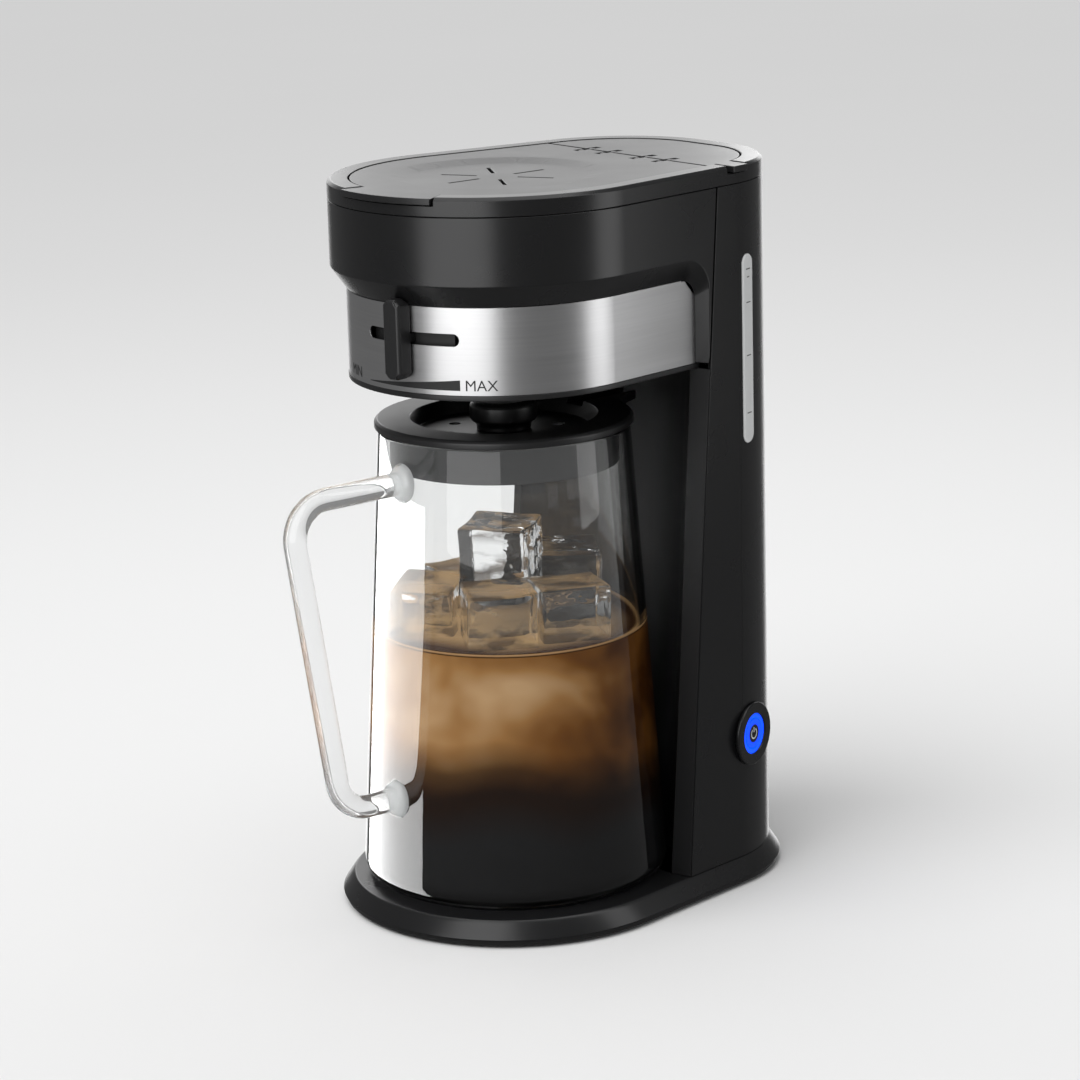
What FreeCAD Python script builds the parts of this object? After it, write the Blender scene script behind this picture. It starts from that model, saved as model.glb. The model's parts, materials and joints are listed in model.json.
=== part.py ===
# Counter-top cold brew coffee maker with a glass pitcher.
# Made about the pitcher's axis, and saved with its origin at the middle of the footprint on the worktop.
# -Y is the handle side, +X the side with the button.
import FreeCAD, Part
import math
import os
from FreeCAD import Vector

# Plan outline of tower, head and base: one nose circle and two rear circles, wrapped by a belt line.
NOSE_R = 76.5
REAR_X = 10.0
REAR_Y = 76.0
REAR_R = 56.0
WALL = 2.4
FIT = 0.3

# Heights of the stack
PLATE_Z = 1.5
PLATE_T = 2.5
BASE_TOP = 12.0
HEAD_BOTTOM = 249.5
BAND_Z = 252.0
BAND_TOP = 291.0
HEAD_FULL = 301.0
RING_Z = 331.5
TOP = 340.0

# Base
SKIRT_OUT = 5.5
SKIRT_TOP_OUT = 1.0
SKIRT_ROUND = 1.4
FOOT_R = 8.0
FOOT_H = 3.0
FOOT_PLACES = ((46.0, -38.0), (-46.0, -38.0), (38.0, 96.0), (-38.0, 96.0))
BASE_SCREWS = ((0.0, -58.0), (52.0, 30.0), (-52.0, 30.0), (0.0, 118.0))
BOSS_R = 3.6
BASE_PORT = (72.0, 26.0, 107.0)

# Pitcher bay in the front of the tower, a cone round the pitcher's axis
BAY_R_BASE = 74.9
BAY_R_HEAD = 85.3
CORNER_BASE = (60.7, 43.9)
CORNER_HEAD = (57.9, 62.6)
STRIP_OUT = (10.0, 3.4)
LIP_DEPTH = 6.0

# Head: recess with the steel band, basket well behind it
BAND_STEP = 7.0
BAND_T = 0.8
BAND_END = 54.0
BAND_END_OUT = 56.0
BAND_CORNER = 9.0
RECESS_CORNER = 15.0
DRUM_T = 2.4
FLOOR_HOLE_R = 11.0
WELL_R = 62.0
WELL_T = 1.6
WELL_FLOOR_Z = 255.0

# Top ring and the two lids
RING_W = 9.5
RING_LEDGE = 3.0
BEAM_T = 1.6
RING_ROUND = 1.6
LID_T = 3.4
LID_GAP = 0.85
LID_TOP = 339.7
DIVIDE_Y = 76.0
LID_SPLIT = 1.4
HINGE_R = 1.2
HINGE_EYE_R = 2.4
HINGE_Z = 337.2
HINGE_EYES = ((-26.0, -14.0), (14.0, 26.0))
HINGE_POST = 3.0
DISH_R = 49.0
DISH_FLOOR_R = 40.0
DISH_DEPTH = 1.6
VENT_IN = 10.0
VENT_OUT = 27.0
VENT_W = 1.6
TAB_MID = 10.0
TAB_HALF = 20.0
TAB_T = 3.0
TAB_OUT = 1.4
REAR_TAB = (82.6, 93.0)

# Brew strength lever, turning about the pitcher's axis; angles are from -Y towards +X
SLOT_Z = 276.5
SLOT_H = 5.5
SLOT_FROM = -4.6
SLOT_TO = 36.6
LEVER_MID = 14.0
LEVER_W = 9.4
LEVER_H = 36.0
LEVER_OUT = 9.0
LEVER_NECK_H = 4.6
LEVER_NECK_W = 7.0
SLIDER_R = 65.6
SLIDER_T = 1.4

# Brew basket, drip valve
BASKET_TOP_R = 58.0
BASKET_LOW_R = 50.0
BASKET_Z = 262.0
BASKET_TOP_Z = 328.6
BASKET_WALL = 1.8
FILTER_GAP = 1.2
VALVE_R = 3.4
VALVE_HEAD_R = 7.5
VALVE_LOW_Z = 238.6
VALVE_STOP_Z = 247.0
GUIDE_T = 3.2
SPRING_R = 5.6
SPRING_WIRE = 0.6
SPRING_TURNS = 4

# Water tank and the tubes behind the bay
TANK_WALL = 2.0
TANK_GAP = 1.4
TANK_Z = 121.0
TANK_TOP = 327.0
SHELF_T = 2.6
WINDOW_TURN = 18.0
WINDOW_W = 8.6
WINDOW_Z = (210.5, 298.5)
TUBE_R = 3.6
TUBE_BORE = 2.2
TUBE_X = 24.0
TUBE_Y = 106.0
HEATER_R = 8.0
HEATER_X = 24.0
HEATER_Z = (22.0, 74.0)
THERMO_R = 6.5
THERMO_T = 6.0

# Power button on the side
BUTTON_Z = 70.5
BUTTON_R = 7.2
BUTTON_OUT = 1.0
BUTTON_TRAVEL = 1.5
SWITCH_R = 9.3
SWITCH_LEN = 9.0
BUTTON_LEN = 8.0
RING_LIGHT_R = 10.0
BEZEL_R = 15.0
BEZEL_OUT = 1.6
INLET_Z = 30.0
INLET_R = 6.0

# Glass pitcher
PITCHER_Z = 12.3
PITCHER_LOW_R = 71.0
PITCHER_TOP_R = 57.8
PITCHER_TOP_Z = 225.0
PITCHER_CORNER = 9.0
GLASS_T = 3.0
GLASS_FLOOR_T = 5.0
HANDLE_R = 5.3
HANDLE_OUT = 121.0
HANDLE_LOW_OUT = 99.0
HANDLE_HIGH_Z = 206.4
HANDLE_LOW_Z = 60.0
HANDLE_BEND = 17.0
WELD_R = 9.0
WELD_T = 3.2
LID_FLANGE_R = 59.3
LID_FLANGE_T = 4.0
COLLAR_R = 53.2
COLLAR_T = 2.2
COLLAR_Z = 208.0
LID_WELL_R = 43.0
LID_WELL_DEPTH = 7.0
KNOB_R = 15.5
KNOB_TOP_Z = 236.4
KNOB_BORE = 3.4
SPOUT_REACH = 75.0

UP = Vector(0, 0, 1)
FRONT_TURN = -90.0
parts = {}


def cylinder(radius, z0, z1, x=0.0, y=0.0):
    return Part.makeCylinder(radius, z1 - z0, Vector(x, y, z0), UP)


def block(x0, y0, z0, x1, y1, z1):
    return Part.makeBox(x1 - x0, y1 - y0, z1 - z0, Vector(x0, y0, z0))


def lathe(points):
    """Closed r-z outline turned about the pitcher's axis."""
    ring = [Vector(r, 0, z) for r, z in points]
    wire = Part.makePolygon(ring + [ring[0]])
    return Part.Face(wire).revolve(Vector(0, 0, 0), UP, 360)


def belt(grow, z):
    """Belt line round the three plan circles, each made larger by grow."""
    circles = ((0.0, 0.0, NOSE_R), (REAR_X, REAR_Y, REAR_R), (-REAR_X, REAR_Y, REAR_R))
    normals = []
    for i in range(3):
        x0, y0, r0 = circles[i]
        x1, y1, r1 = circles[(i + 1) % 3]
        run = math.hypot(x1 - x0, y1 - y0)
        normals.append(math.atan2(y1 - y0, x1 - x0) - math.acos((r0 - r1) / run))

    def on(circle, angle):
        x, y, r = circle
        return Vector(x + (r + grow) * math.cos(angle), y + (r + grow) * math.sin(angle), z)

    edges = []
    for i in range(3):
        start, end = normals[i - 1], normals[i]
        while end < start:
            end += 2 * math.pi
        middle = (start + end) / 2
        edges.append(Part.Arc(on(circles[i], start), on(circles[i], middle), on(circles[i], end)).toShape())
        nxt = circles[(i + 1) % 3]
        edges.append(Part.LineSegment(on(circles[i], end), on(nxt, end)).toShape())
    return Part.Wire(edges)


def side_turn():
    """Angle of the flat sides' outward normal from +X, in degrees."""
    run = math.hypot(REAR_X, REAR_Y)
    return math.degrees(math.atan2(REAR_Y, REAR_X) - math.acos((NOSE_R - REAR_R) / run))


def prism(grow, z0, z1):
    return Part.Face(belt(grow, z0)).extrude(Vector(0, 0, z1 - z0))


def taper(grow0, z0, grow1, z1):
    return Part.makeLoft([belt(grow0, z0), belt(grow1, z1)], True, True)


def polygon(points, z):
    ring = [Vector(x, y, z) for x, y in points]
    return Part.makePolygon(ring + [ring[0]])


def corner_at(z):
    """Inner and outer front corner of the tower at height z, on the +X side."""
    share = (z - BASE_TOP) / (HEAD_BOTTOM - BASE_TOP)
    x = CORNER_BASE[0] + (CORNER_HEAD[0] - CORNER_BASE[0]) * share
    y = CORNER_BASE[1] + (CORNER_HEAD[1] - CORNER_BASE[1]) * share
    return (x, y), (x + STRIP_OUT[0], y + STRIP_OUT[1])


def behind(z0, z1, back=0.0, strip=True):
    """Everything behind the slanted parting plane, or behind the front strips as well."""
    wires = []
    for z in (z0, z1):
        (xi, yi), (xo, yo) = corner_at(z)
        far = NOSE_R * 2
        if strip:
            ring = [(xi, yi + back), (xo, yo + back), (far, yo + back), (far, far), (-far, far),
                    (-far, yo + back), (-xo, yo + back), (-xi, yi + back)]
        else:
            ring = [(far, yo + back), (far, far), (-far, far), (-far, yo + back)]
        wires.append(polygon(ring, z))
    return Part.makeLoft(wires, True, True)


def bay(extra, z0, z1):
    """Cone of the pitcher bay, made larger by extra."""
    slope = (BAY_R_HEAD - BAY_R_BASE) / (HEAD_BOTTOM - BASE_TOP)
    r0 = BAY_R_BASE + extra + slope * (z0 - BASE_TOP)
    r1 = BAY_R_BASE + extra + slope * (z1 - BASE_TOP)
    return Part.makeCone(r0, r1, z1 - z0, Vector(0, 0, z0), UP)


def wedge(from_turn, to_turn, reach, z0, z1):
    """Pie slice about the axis, with turns counted from -Y towards +X."""
    steps = max(2, int(abs(to_turn - from_turn) / 30) + 1)
    ring = [(0.0, 0.0)]
    for i in range(steps + 1):
        a = math.radians(FRONT_TURN + from_turn + (to_turn - from_turn) * i / steps)
        ring.append((reach * math.cos(a), reach * math.sin(a)))
    return Part.Face(polygon(ring, z0)).extrude(Vector(0, 0, z1 - z0))


def turned(shape, turn):
    """Copy of a shape made on -Y, turned towards +X about the axis."""
    copy = shape.copy()
    copy.rotate(Vector(0, 0, 0), UP, turn)
    return copy


def side_frame(shape, side):
    """Shape made with X as the side's outward normal and Y along the side, put on that side."""
    copy = shape.copy()
    copy.rotate(Vector(0, 0, 0), UP, side_turn())
    if side < 0:
        copy = copy.mirror(Vector(0, 0, 0), Vector(1, 0, 0))
    return copy


def joined(*shapes):
    out = shapes[0]
    for shape in shapes[1:]:
        out = out.fuse(shape)
    return out.removeSplitter()


# Base: feet, bottom plate, skirted shell, screws
def make_base():
    feet = []
    for x, y in FOOT_PLACES:
        foot = Part.makeCone(FOOT_R - 0.8, FOOT_R, 1.0, Vector(x, y, 0), UP)
        feet.append(foot.fuse(cylinder(FOOT_R, 1.0, FOOT_H, x, y)).removeSplitter())
    parts["rubber_feet"] = Part.makeCompound(feet)

    plate_top = PLATE_Z + PLATE_T
    plate = prism(SKIRT_OUT - 1.3, PLATE_Z, plate_top)
    for x, y in FOOT_PLACES:
        plate = plate.cut(cylinder(FOOT_R, PLATE_Z, FOOT_H, x, y))
    for x, y in BASE_SCREWS:
        plate = plate.cut(cylinder(1.8, PLATE_Z, plate_top, x, y))
        plate = plate.cut(cylinder(3.4, PLATE_Z, PLATE_Z + 1.6, x, y))
    parts["base_plate"] = plate

    skirt = taper(SKIRT_OUT, plate_top, SKIRT_TOP_OUT, BASE_TOP - SKIRT_ROUND)
    cap = taper(SKIRT_TOP_OUT, BASE_TOP - SKIRT_ROUND, SKIRT_TOP_OUT - SKIRT_ROUND, BASE_TOP)
    hollow = taper(SKIRT_OUT - WALL, plate_top, SKIRT_TOP_OUT - WALL, BASE_TOP - WALL)
    shell = skirt.fuse(cap).cut(hollow)
    posts = [cylinder(BOSS_R, plate_top, BASE_TOP - WALL / 2, x, y) for x, y in BASE_SCREWS]
    shell = joined(shell, *posts)
    for x, y in BASE_SCREWS:
        shell = shell.cut(cylinder(1.3, plate_top, BASE_TOP - WALL, x, y))
    port_w, port_d, port_y = BASE_PORT
    shell = shell.cut(block(-port_w / 2, port_y - port_d / 2, plate_top, port_w / 2, port_y + port_d / 2, TOP))
    parts["base_shell"] = shell

    screws = []
    for x, y in BASE_SCREWS:
        head = cylinder(3.0, PLATE_Z + 0.1, PLATE_Z + 1.6, x, y)
        head = head.cut(block(x - 2.2, y - 0.4, PLATE_Z, x + 2.2, y + 0.4, PLATE_Z + 0.7))
        screws.append(head.fuse(cylinder(1.3, PLATE_Z + 1.6, BASE_TOP - WALL - 0.6, x, y)).removeSplitter())
    parts["base_screws"] = Part.makeCompound(screws)


# Tower: front housing round the bay, rear housing, tank shelf
def make_tower():
    low, high = BASE_TOP, HEAD_BOTTOM
    body = prism(-0.2, low, high).common(behind(low, high)).cut(bay(0.0, low, high))
    inner = prism(-WALL * 2, low, high).common(behind(low, high, back=WALL * 1.2)).cut(bay(WALL, low, high))
    shell = body.cut(inner)
    skin = prism(NOSE_R, low, high).cut(prism(-WALL - 0.2, low, high))
    shell = shell.cut(skin.common(behind(low, high, back=0.3, strip=False)))
    lip = behind(low, high, back=LIP_DEPTH, strip=False)
    keep = prism(-WALL - 0.2, low, high).cut(prism(-WALL * 2, low, high)).common(lip)
    front = shell.cut(keep)
    parts["front_housing"] = front

    wall = prism(0.0, low, RING_Z - 0.2).cut(prism(-WALL, low, RING_Z))
    wall = wall.common(behind(low, RING_Z, back=0.6, strip=False))
    window_cut = side_slot(WINDOW_W + 0.4, WINDOW_Z[0] - 0.2, WINDOW_Z[1] + 0.2, REAR_R - WALL * 2, REAR_R + 4)
    wall = wall.cut(window_cut)
    wall = wall.cut(radial_cylinder(RING_LIGHT_R + 0.5, BUTTON_Z, REAR_R - WALL * 2, REAR_R + 4))
    inlet = Part.makeCylinder(INLET_R - 1.0, WALL * 4, Vector(0, REAR_Y + REAR_R - WALL * 3, INLET_Z), Vector(0, 1, 0))
    wall = wall.cut(inlet)
    for i in range(6):
        vent = block(-22 + i * 8, REAR_Y + REAR_R - 8, 52, -18 + i * 8, REAR_Y + REAR_R + 4, 72)
        wall = wall.cut(vent)
    for x in (-34.0, 0.0, 34.0):
        rib = block(x - 0.9, REAR_Y, low, x + 0.9, REAR_Y + REAR_R, TANK_Z - SHELF_T)
        rib = rib.common(prism(-WALL + 0.1, low, TANK_Z).cut(prism(-WALL - 3.0, low, TANK_Z)))
        if x != 0.0:
            wall = wall.fuse(rib)
    parts["rear_housing"] = wall.removeSplitter()

    shelf = prism(-WALL, TANK_Z - SHELF_T, TANK_Z).cut(bay(WALL, TANK_Z - SHELF_T, TANK_Z))
    shelf = shelf.common(behind(TANK_Z - SHELF_T, TANK_Z, back=LIP_DEPTH + 3.0, strip=False))
    shelf = shelf.cut(cylinder(TUBE_R + 0.6, TANK_Z - SHELF_T, TANK_Z, TUBE_X, TUBE_Y))
    shelf = shelf.cut(cylinder(TUBE_R + 0.4, TANK_Z - SHELF_T, TANK_Z, -TUBE_X, TUBE_Y))
    parts["tank_shelf"] = shelf


def side_slot(width, z0, z1, r0, r1):
    """Upright rounded slot, cut square to the rear circle at the window's turn."""
    half = width / 2
    depth = r1 - r0
    body = Part.makeBox(depth, width, z1 - z0 - width, Vector(r0, -half, z0 + half))
    ends = [Part.makeCylinder(half, depth, Vector(r0, 0, z), Vector(1, 0, 0)) for z in (z0 + half, z1 - half)]
    slot = joined(body, *ends)
    slot.rotate(Vector(0, 0, 0), UP, WINDOW_TURN)
    slot.translate(Vector(REAR_X, REAR_Y, 0))
    return slot


def radial_cylinder(radius, z, r0, r1):
    """Cylinder along the window's outward normal, from r0 to r1 off the rear circle's centre."""
    turn = math.radians(WINDOW_TURN)
    axis = Vector(math.cos(turn), math.sin(turn), 0)
    start = Vector(REAR_X + r0 * math.cos(turn), REAR_Y + r0 * math.sin(turn), z)
    return Part.makeCylinder(radius, r1 - r0, start, axis)


# Head: shell with the band recess, floor, steel band
def recess_profile(x, end, top, corner):
    """Outline of the recess in a plane square to the side's normal."""
    low = HEAD_BOTTOM - 5
    a = Vector(x, -1, low)
    b = Vector(x, end, low)
    c = Vector(x, end, top - corner)
    d = Vector(x, end - corner, top)
    e = Vector(x, -1, top)
    knee = corner * (1 - math.sqrt(0.5))
    mid = Vector(x, end - knee, top - knee)
    edges = [Part.LineSegment(a, b).toShape(), Part.LineSegment(b, c).toShape(), Part.Arc(c, mid, d).toShape(),
             Part.LineSegment(d, e).toShape(), Part.LineSegment(e, a).toShape()]
    return Part.Wire(edges)


def nose_sector(z0, z1):
    a = math.radians(side_turn())
    far = NOSE_R * 2
    ring = [(0, 0), (far * math.cos(a), far * math.sin(a)), (far, -far), (-far, -far),
            (-far * math.cos(a), far * math.sin(a))]
    return Part.Face(polygon(ring, z0)).extrude(Vector(0, 0, z1 - z0))


def make_head():
    low = HEAD_BOTTOM - 5
    core = prism(-BAND_STEP, low, BAND_TOP)
    core = core.fuse(taper(-BAND_STEP, BAND_TOP, 0.0, HEAD_FULL))
    nose_cut = prism(BAND_STEP, low, HEAD_FULL).cut(core).common(nose_sector(low, HEAD_FULL))
    deep, face = NOSE_R - BAND_STEP, NOSE_R
    loft = Part.makeLoft([recess_profile(deep, BAND_END, BAND_TOP, BAND_CORNER),
                          recess_profile(face, BAND_END_OUT, HEAD_FULL, RECESS_CORNER)], True, True)
    outer = Part.Face(recess_profile(face, BAND_END_OUT, HEAD_FULL, RECESS_CORNER)).extrude(Vector(6, 0, 0))
    side_cut = loft.fuse(outer)

    ahead = prism(NOSE_R, BAND_Z, TOP).cut(behind(BAND_Z - 1, TOP, back=-0.3, strip=False))
    solid = prism(0.0, BAND_Z, RING_Z - 0.2).common(ahead)
    solid = solid.cut(nose_cut)
    for side in (1, -1):
        solid = solid.cut(side_frame(side_cut, side))
    drum_in = BAND_STEP + BAND_T + DRUM_T
    room = prism(-drum_in, BAND_Z, BAND_TOP + 2.4)
    room = room.fuse(taper(-drum_in, BAND_TOP + 2.4, -WALL - 0.8, HEAD_FULL + 2.4))
    room = room.fuse(prism(-WALL, HEAD_FULL + 2.4, RING_Z))
    room = room.cut(behind(BAND_Z - 1, TOP, back=-WALL - 0.3, strip=False))
    solid = solid.cut(room)
    band_room = prism(-BAND_STEP + 1.0, BAND_Z, BAND_TOP).cut(prism(-BAND_STEP - BAND_T, BAND_Z, BAND_TOP))
    solid = solid.cut(band_room.common(band_limits(0.15)))
    solid = solid.cut(slot_cutter(SLOT_H + 3.0, 2.5, 40.0, 80.0))
    parts["head_shell"] = solid

    band = prism(-BAND_STEP, BAND_Z, BAND_TOP - 0.15)
    band = band.cut(prism(-BAND_STEP - BAND_T + 0.05, BAND_Z, BAND_TOP))
    band = band.common(band_limits(0.0)).cut(slot_cutter(SLOT_H, 0.0, 40.0, 80.0))
    parts["steel_band"] = band

    floor = prism(-BAND_STEP + 0.3, HEAD_BOTTOM, BAND_Z)
    floor = floor.cut(behind(low, TOP, back=-0.3, strip=False))
    ceiling = cylinder(BAY_R_HEAD + WALL, HEAD_BOTTOM, BAND_Z).common(prism(-WALL - FIT, HEAD_BOTTOM, BAND_Z))
    floor = joined(floor, ceiling.common(behind(low, TOP, back=-1.0, strip=False)))
    floor = floor.cut(cylinder(FLOOR_HOLE_R, HEAD_BOTTOM, BAND_Z))
    parts["head_floor"] = floor


def band_limits(spare):
    """Nose sector and both sides as far as the band's rounded ends, in one solid."""
    out = nose_sector(BAND_Z, BAND_TOP)
    profile = recess_profile(NOSE_R - BAND_STEP - 12, BAND_END - 0.2 + spare, BAND_TOP, BAND_CORNER)
    side = Part.Face(profile).extrude(Vector(24, 0, 0))
    for one in (1, -1):
        out = out.fuse(side_frame(side, one))
    return out


def slot_cutter(height, spare, r0, r1):
    """Round-ended slot for the lever, in the nose's cylinder."""
    half = height / 2
    lo, hi = SLOT_FROM - spare, SLOT_TO + spare
    turn_half = math.degrees(half / (NOSE_R - BAND_STEP))
    ring = cylinder(r1, SLOT_Z - half, SLOT_Z + half).cut(cylinder(r0, SLOT_Z - half, SLOT_Z + half))
    out = ring.common(wedge(lo + turn_half, hi - turn_half, r1 * 1.5, SLOT_Z - half, SLOT_Z + half))
    for turn in (lo + turn_half, hi - turn_half):
        end = Part.makeCylinder(half, r1 - r0, Vector(0, -r0, SLOT_Z), Vector(0, -1, 0))
        out = out.fuse(turned(end, turn))
    return out


# Basket well, basket, filter, drip valve with its spring
def make_brew():
    well = cylinder(WELL_R, BAND_Z, RING_Z - 0.3).cut(cylinder(WELL_R - WELL_T, WELL_FLOOR_Z + WELL_T, RING_Z))
    well = well.cut(cylinder(WELL_R - WELL_T, BAND_Z, WELL_FLOOR_Z))
    well = well.cut(cylinder(VALVE_HEAD_R + 5.0, BAND_Z, RING_Z))
    feet = wedge(120, 240, NOSE_R, BAND_Z, WELL_FLOOR_Z)
    well = well.cut(cylinder(NOSE_R, BAND_Z, WELL_FLOOR_Z).cut(feet))
    flange = prism(-WALL - FIT, RING_Z - 2.3, RING_Z - 0.3)
    flange = flange.cut(behind(BAND_Z, TOP, back=-WALL - 0.6, strip=False)).cut(cylinder(WELL_R - WELL_T, BAND_Z, TOP))
    for turn in range(6):
        port = cylinder(3.0, BAND_Z, WELL_FLOOR_Z + WELL_T, 30 * math.cos(turn * math.pi / 3 + 0.5),
                        30 * math.sin(turn * math.pi / 3 + 0.5))
        well = well.cut(port)
    parts["basket_well"] = joined(well, flange)

    ledge = lathe([(WELL_R - WELL_T, BASKET_TOP_Z - 3.0), (WELL_R - WELL_T, BASKET_TOP_Z - 5.0),
                   (WELL_R - WELL_T - 1.2, BASKET_TOP_Z - 3.0)])
    parts["basket_well"] = joined(parts["basket_well"], ledge)

    top, low = BASKET_TOP_R, BASKET_LOW_R
    rim = WELL_R - WELL_T - 0.4
    t = BASKET_WALL
    parts["brew_basket"] = lathe([(VALVE_R + 1.0, BASKET_Z), (low - 2, BASKET_Z), (low, BASKET_Z + 2),
                                  (top, BASKET_TOP_Z - 4.6), (rim - 1.4, BASKET_TOP_Z - 2.9), (rim, BASKET_TOP_Z - 2.9),
                                  (rim, BASKET_TOP_Z), (top - t, BASKET_TOP_Z), (low - t, BASKET_Z + 2 + t),
                                  (low - 2 - t, BASKET_Z + t), (VALVE_HEAD_R + 2, BASKET_Z + t),
                                  (VALVE_R + 1.0, BASKET_Z + t)])
    mesh_t = 0.9
    gap = FILTER_GAP
    shape = lathe([(VALVE_HEAD_R + 3.0, BASKET_Z + t + gap), (low - 4 - gap, BASKET_Z + t + gap),
                   (top - t - gap, BASKET_TOP_Z - 1.2), (top - t - gap - mesh_t, BASKET_TOP_Z - 1.2),
                   (low - 4 - gap - mesh_t, BASKET_Z + t + gap + mesh_t),
                   (VALVE_HEAD_R + 3.0 + mesh_t, BASKET_Z + t + gap + mesh_t),
                   (VALVE_HEAD_R + 3.0 + mesh_t, BASKET_Z + 16), (VALVE_HEAD_R + 3.0, BASKET_Z + 16)])
    parts["basket_filter"] = shape

    floor_top = BASKET_Z + t
    stem = cylinder(VALVE_R, VALVE_LOW_Z + 1.0, floor_top + 2.5)
    tip = Part.makeCone(VALVE_R - 1.0, VALVE_R, 1.0, Vector(0, 0, VALVE_LOW_Z), UP)
    head = Part.makeCone(VALVE_HEAD_R, VALVE_HEAD_R - 1.5, 1.6, Vector(0, 0, floor_top + 0.1), UP)
    stop = cylinder(SPRING_R + 1.4, VALVE_STOP_Z - 1.2, VALVE_STOP_Z)
    parts["drip_valve"] = joined(stem, tip, head, stop)
    low_z, high_z = VALVE_STOP_Z + SPRING_WIRE + 0.05, BASKET_Z - SPRING_WIRE - GUIDE_T - 0.05
    parts["valve_spring"] = coil(SPRING_R, SPRING_WIRE, SPRING_TURNS, low_z, high_z)
    seat = cylinder(SPRING_R + 3.0, BASKET_Z - GUIDE_T, BASKET_Z).cut(cylinder(VALVE_R + 0.4, 0, TOP))
    parts["valve_guide"] = seat


def coil(radius, wire, turns, z0, z1, steps=14, sides=6):
    """Coil spring, lofted through sections square to its helix."""
    rise = (z1 - z0) / (2 * math.pi * turns)
    sections = []
    for k in range(steps * turns + 1):
        a = 2 * math.pi * k / steps
        out = Vector(math.cos(a), math.sin(a), 0)
        along = Vector(-radius * math.sin(a), radius * math.cos(a), rise).normalize()
        up = along.cross(out)
        middle = out * radius + Vector(0, 0, z0 + rise * a)
        ring = []
        for i in range(sides):
            b = 2 * math.pi * i / sides
            ring.append(middle + out * (wire * math.cos(b)) + up * (wire * math.sin(b)))
        sections.append(Part.makePolygon(ring + [ring[0]]))
    return Part.makeLoft(sections, True, True)


# Strength lever: bar and neck, slider behind the drum, shutter over the bypass ports
def make_lever():
    front = NOSE_R - BAND_STEP
    half_h, half_w = LEVER_H / 2, LEVER_W / 2
    cut = 2.6
    ring = [(-half_w, SLOT_Z - half_h + cut), (-half_w + cut, SLOT_Z - half_h), (half_w - cut, SLOT_Z - half_h),
            (half_w, SLOT_Z - half_h + cut), (half_w, SLOT_Z + half_h - cut), (half_w - cut, SLOT_Z + half_h),
            (-half_w + cut, SLOT_Z + half_h), (-half_w, SLOT_Z + half_h - cut)]

    def outline(y, inset):
        k = 1 - inset / half_w
        pts = [Vector(x * k, y, SLOT_Z + (z - SLOT_Z) * (1 - inset / half_h)) for x, z in ring]
        return Part.makePolygon(pts + [pts[0]])

    back, nose = -front - 0.7, -front - LEVER_OUT
    bar = Part.Face(outline(back, 0)).extrude(Vector(0, nose + 1.2 - back, 0))
    cap = Part.makeLoft([outline(nose + 1.2, 0), outline(nose, 1.2)], True, True)
    neck = block(-LEVER_NECK_W / 2, back - 0.5, SLOT_Z - LEVER_NECK_H / 2, LEVER_NECK_W / 2, -SLIDER_R + 1,
                 SLOT_Z + LEVER_NECK_H / 2)
    lever = joined(bar, cap, neck)
    lever = lever.cut(cylinder(front + 0.6, 0, TOP).cut(cylinder(front - 30, 0, TOP)).cut(
        block(-LEVER_NECK_W / 2, -front - 5, SLOT_Z - LEVER_NECK_H / 2, LEVER_NECK_W / 2, 0, SLOT_Z + LEVER_NECK_H / 2)))
    chamfer = Part.makeCone(front + 0.7, NOSE_R + 0.7, HEAD_FULL - BAND_TOP, Vector(0, 0, BAND_TOP - 0.4), UP)
    parts["strength_lever"] = turned(lever.cut(chamfer), LEVER_MID)

    band = cylinder(SLIDER_R, BAND_Z + 1.5, SLOT_Z + 9).cut(cylinder(SLIDER_R - SLIDER_T, 0, TOP))
    band = band.common(wedge(-20, 20, NOSE_R, BAND_Z, TOP))
    shutter = cylinder(SLIDER_R, BAND_Z + 0.3, BAND_Z + 1.5).cut(cylinder(20.0, 0, TOP))
    shutter = shutter.cut(wedge(60, 300, NOSE_R * 1.4, BAND_Z, WELL_FLOOR_Z).cut(cylinder(34, 0, TOP)))
    arm = joined(band, shutter)
    arm = arm.cut(block(-LEVER_NECK_W / 2, -NOSE_R, SLOT_Z - LEVER_NECK_H / 2, LEVER_NECK_W / 2, 0,
                        SLOT_Z + LEVER_NECK_H / 2))
    for i in range(6):
        a = i * math.pi / 3 + 0.5
        arm = arm.cut(cylinder(3.0, BAND_Z, BAND_Z + 2, 27 * math.cos(a), 27 * math.sin(a)))
    parts["bypass_shutter"] = turned(arm, LEVER_MID)


# Top ring and lids
def lid_field(grow):
    """Opening of the ring as a prism, inside the ring's width."""
    return prism(-RING_W + grow, RING_Z, TOP)


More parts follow.
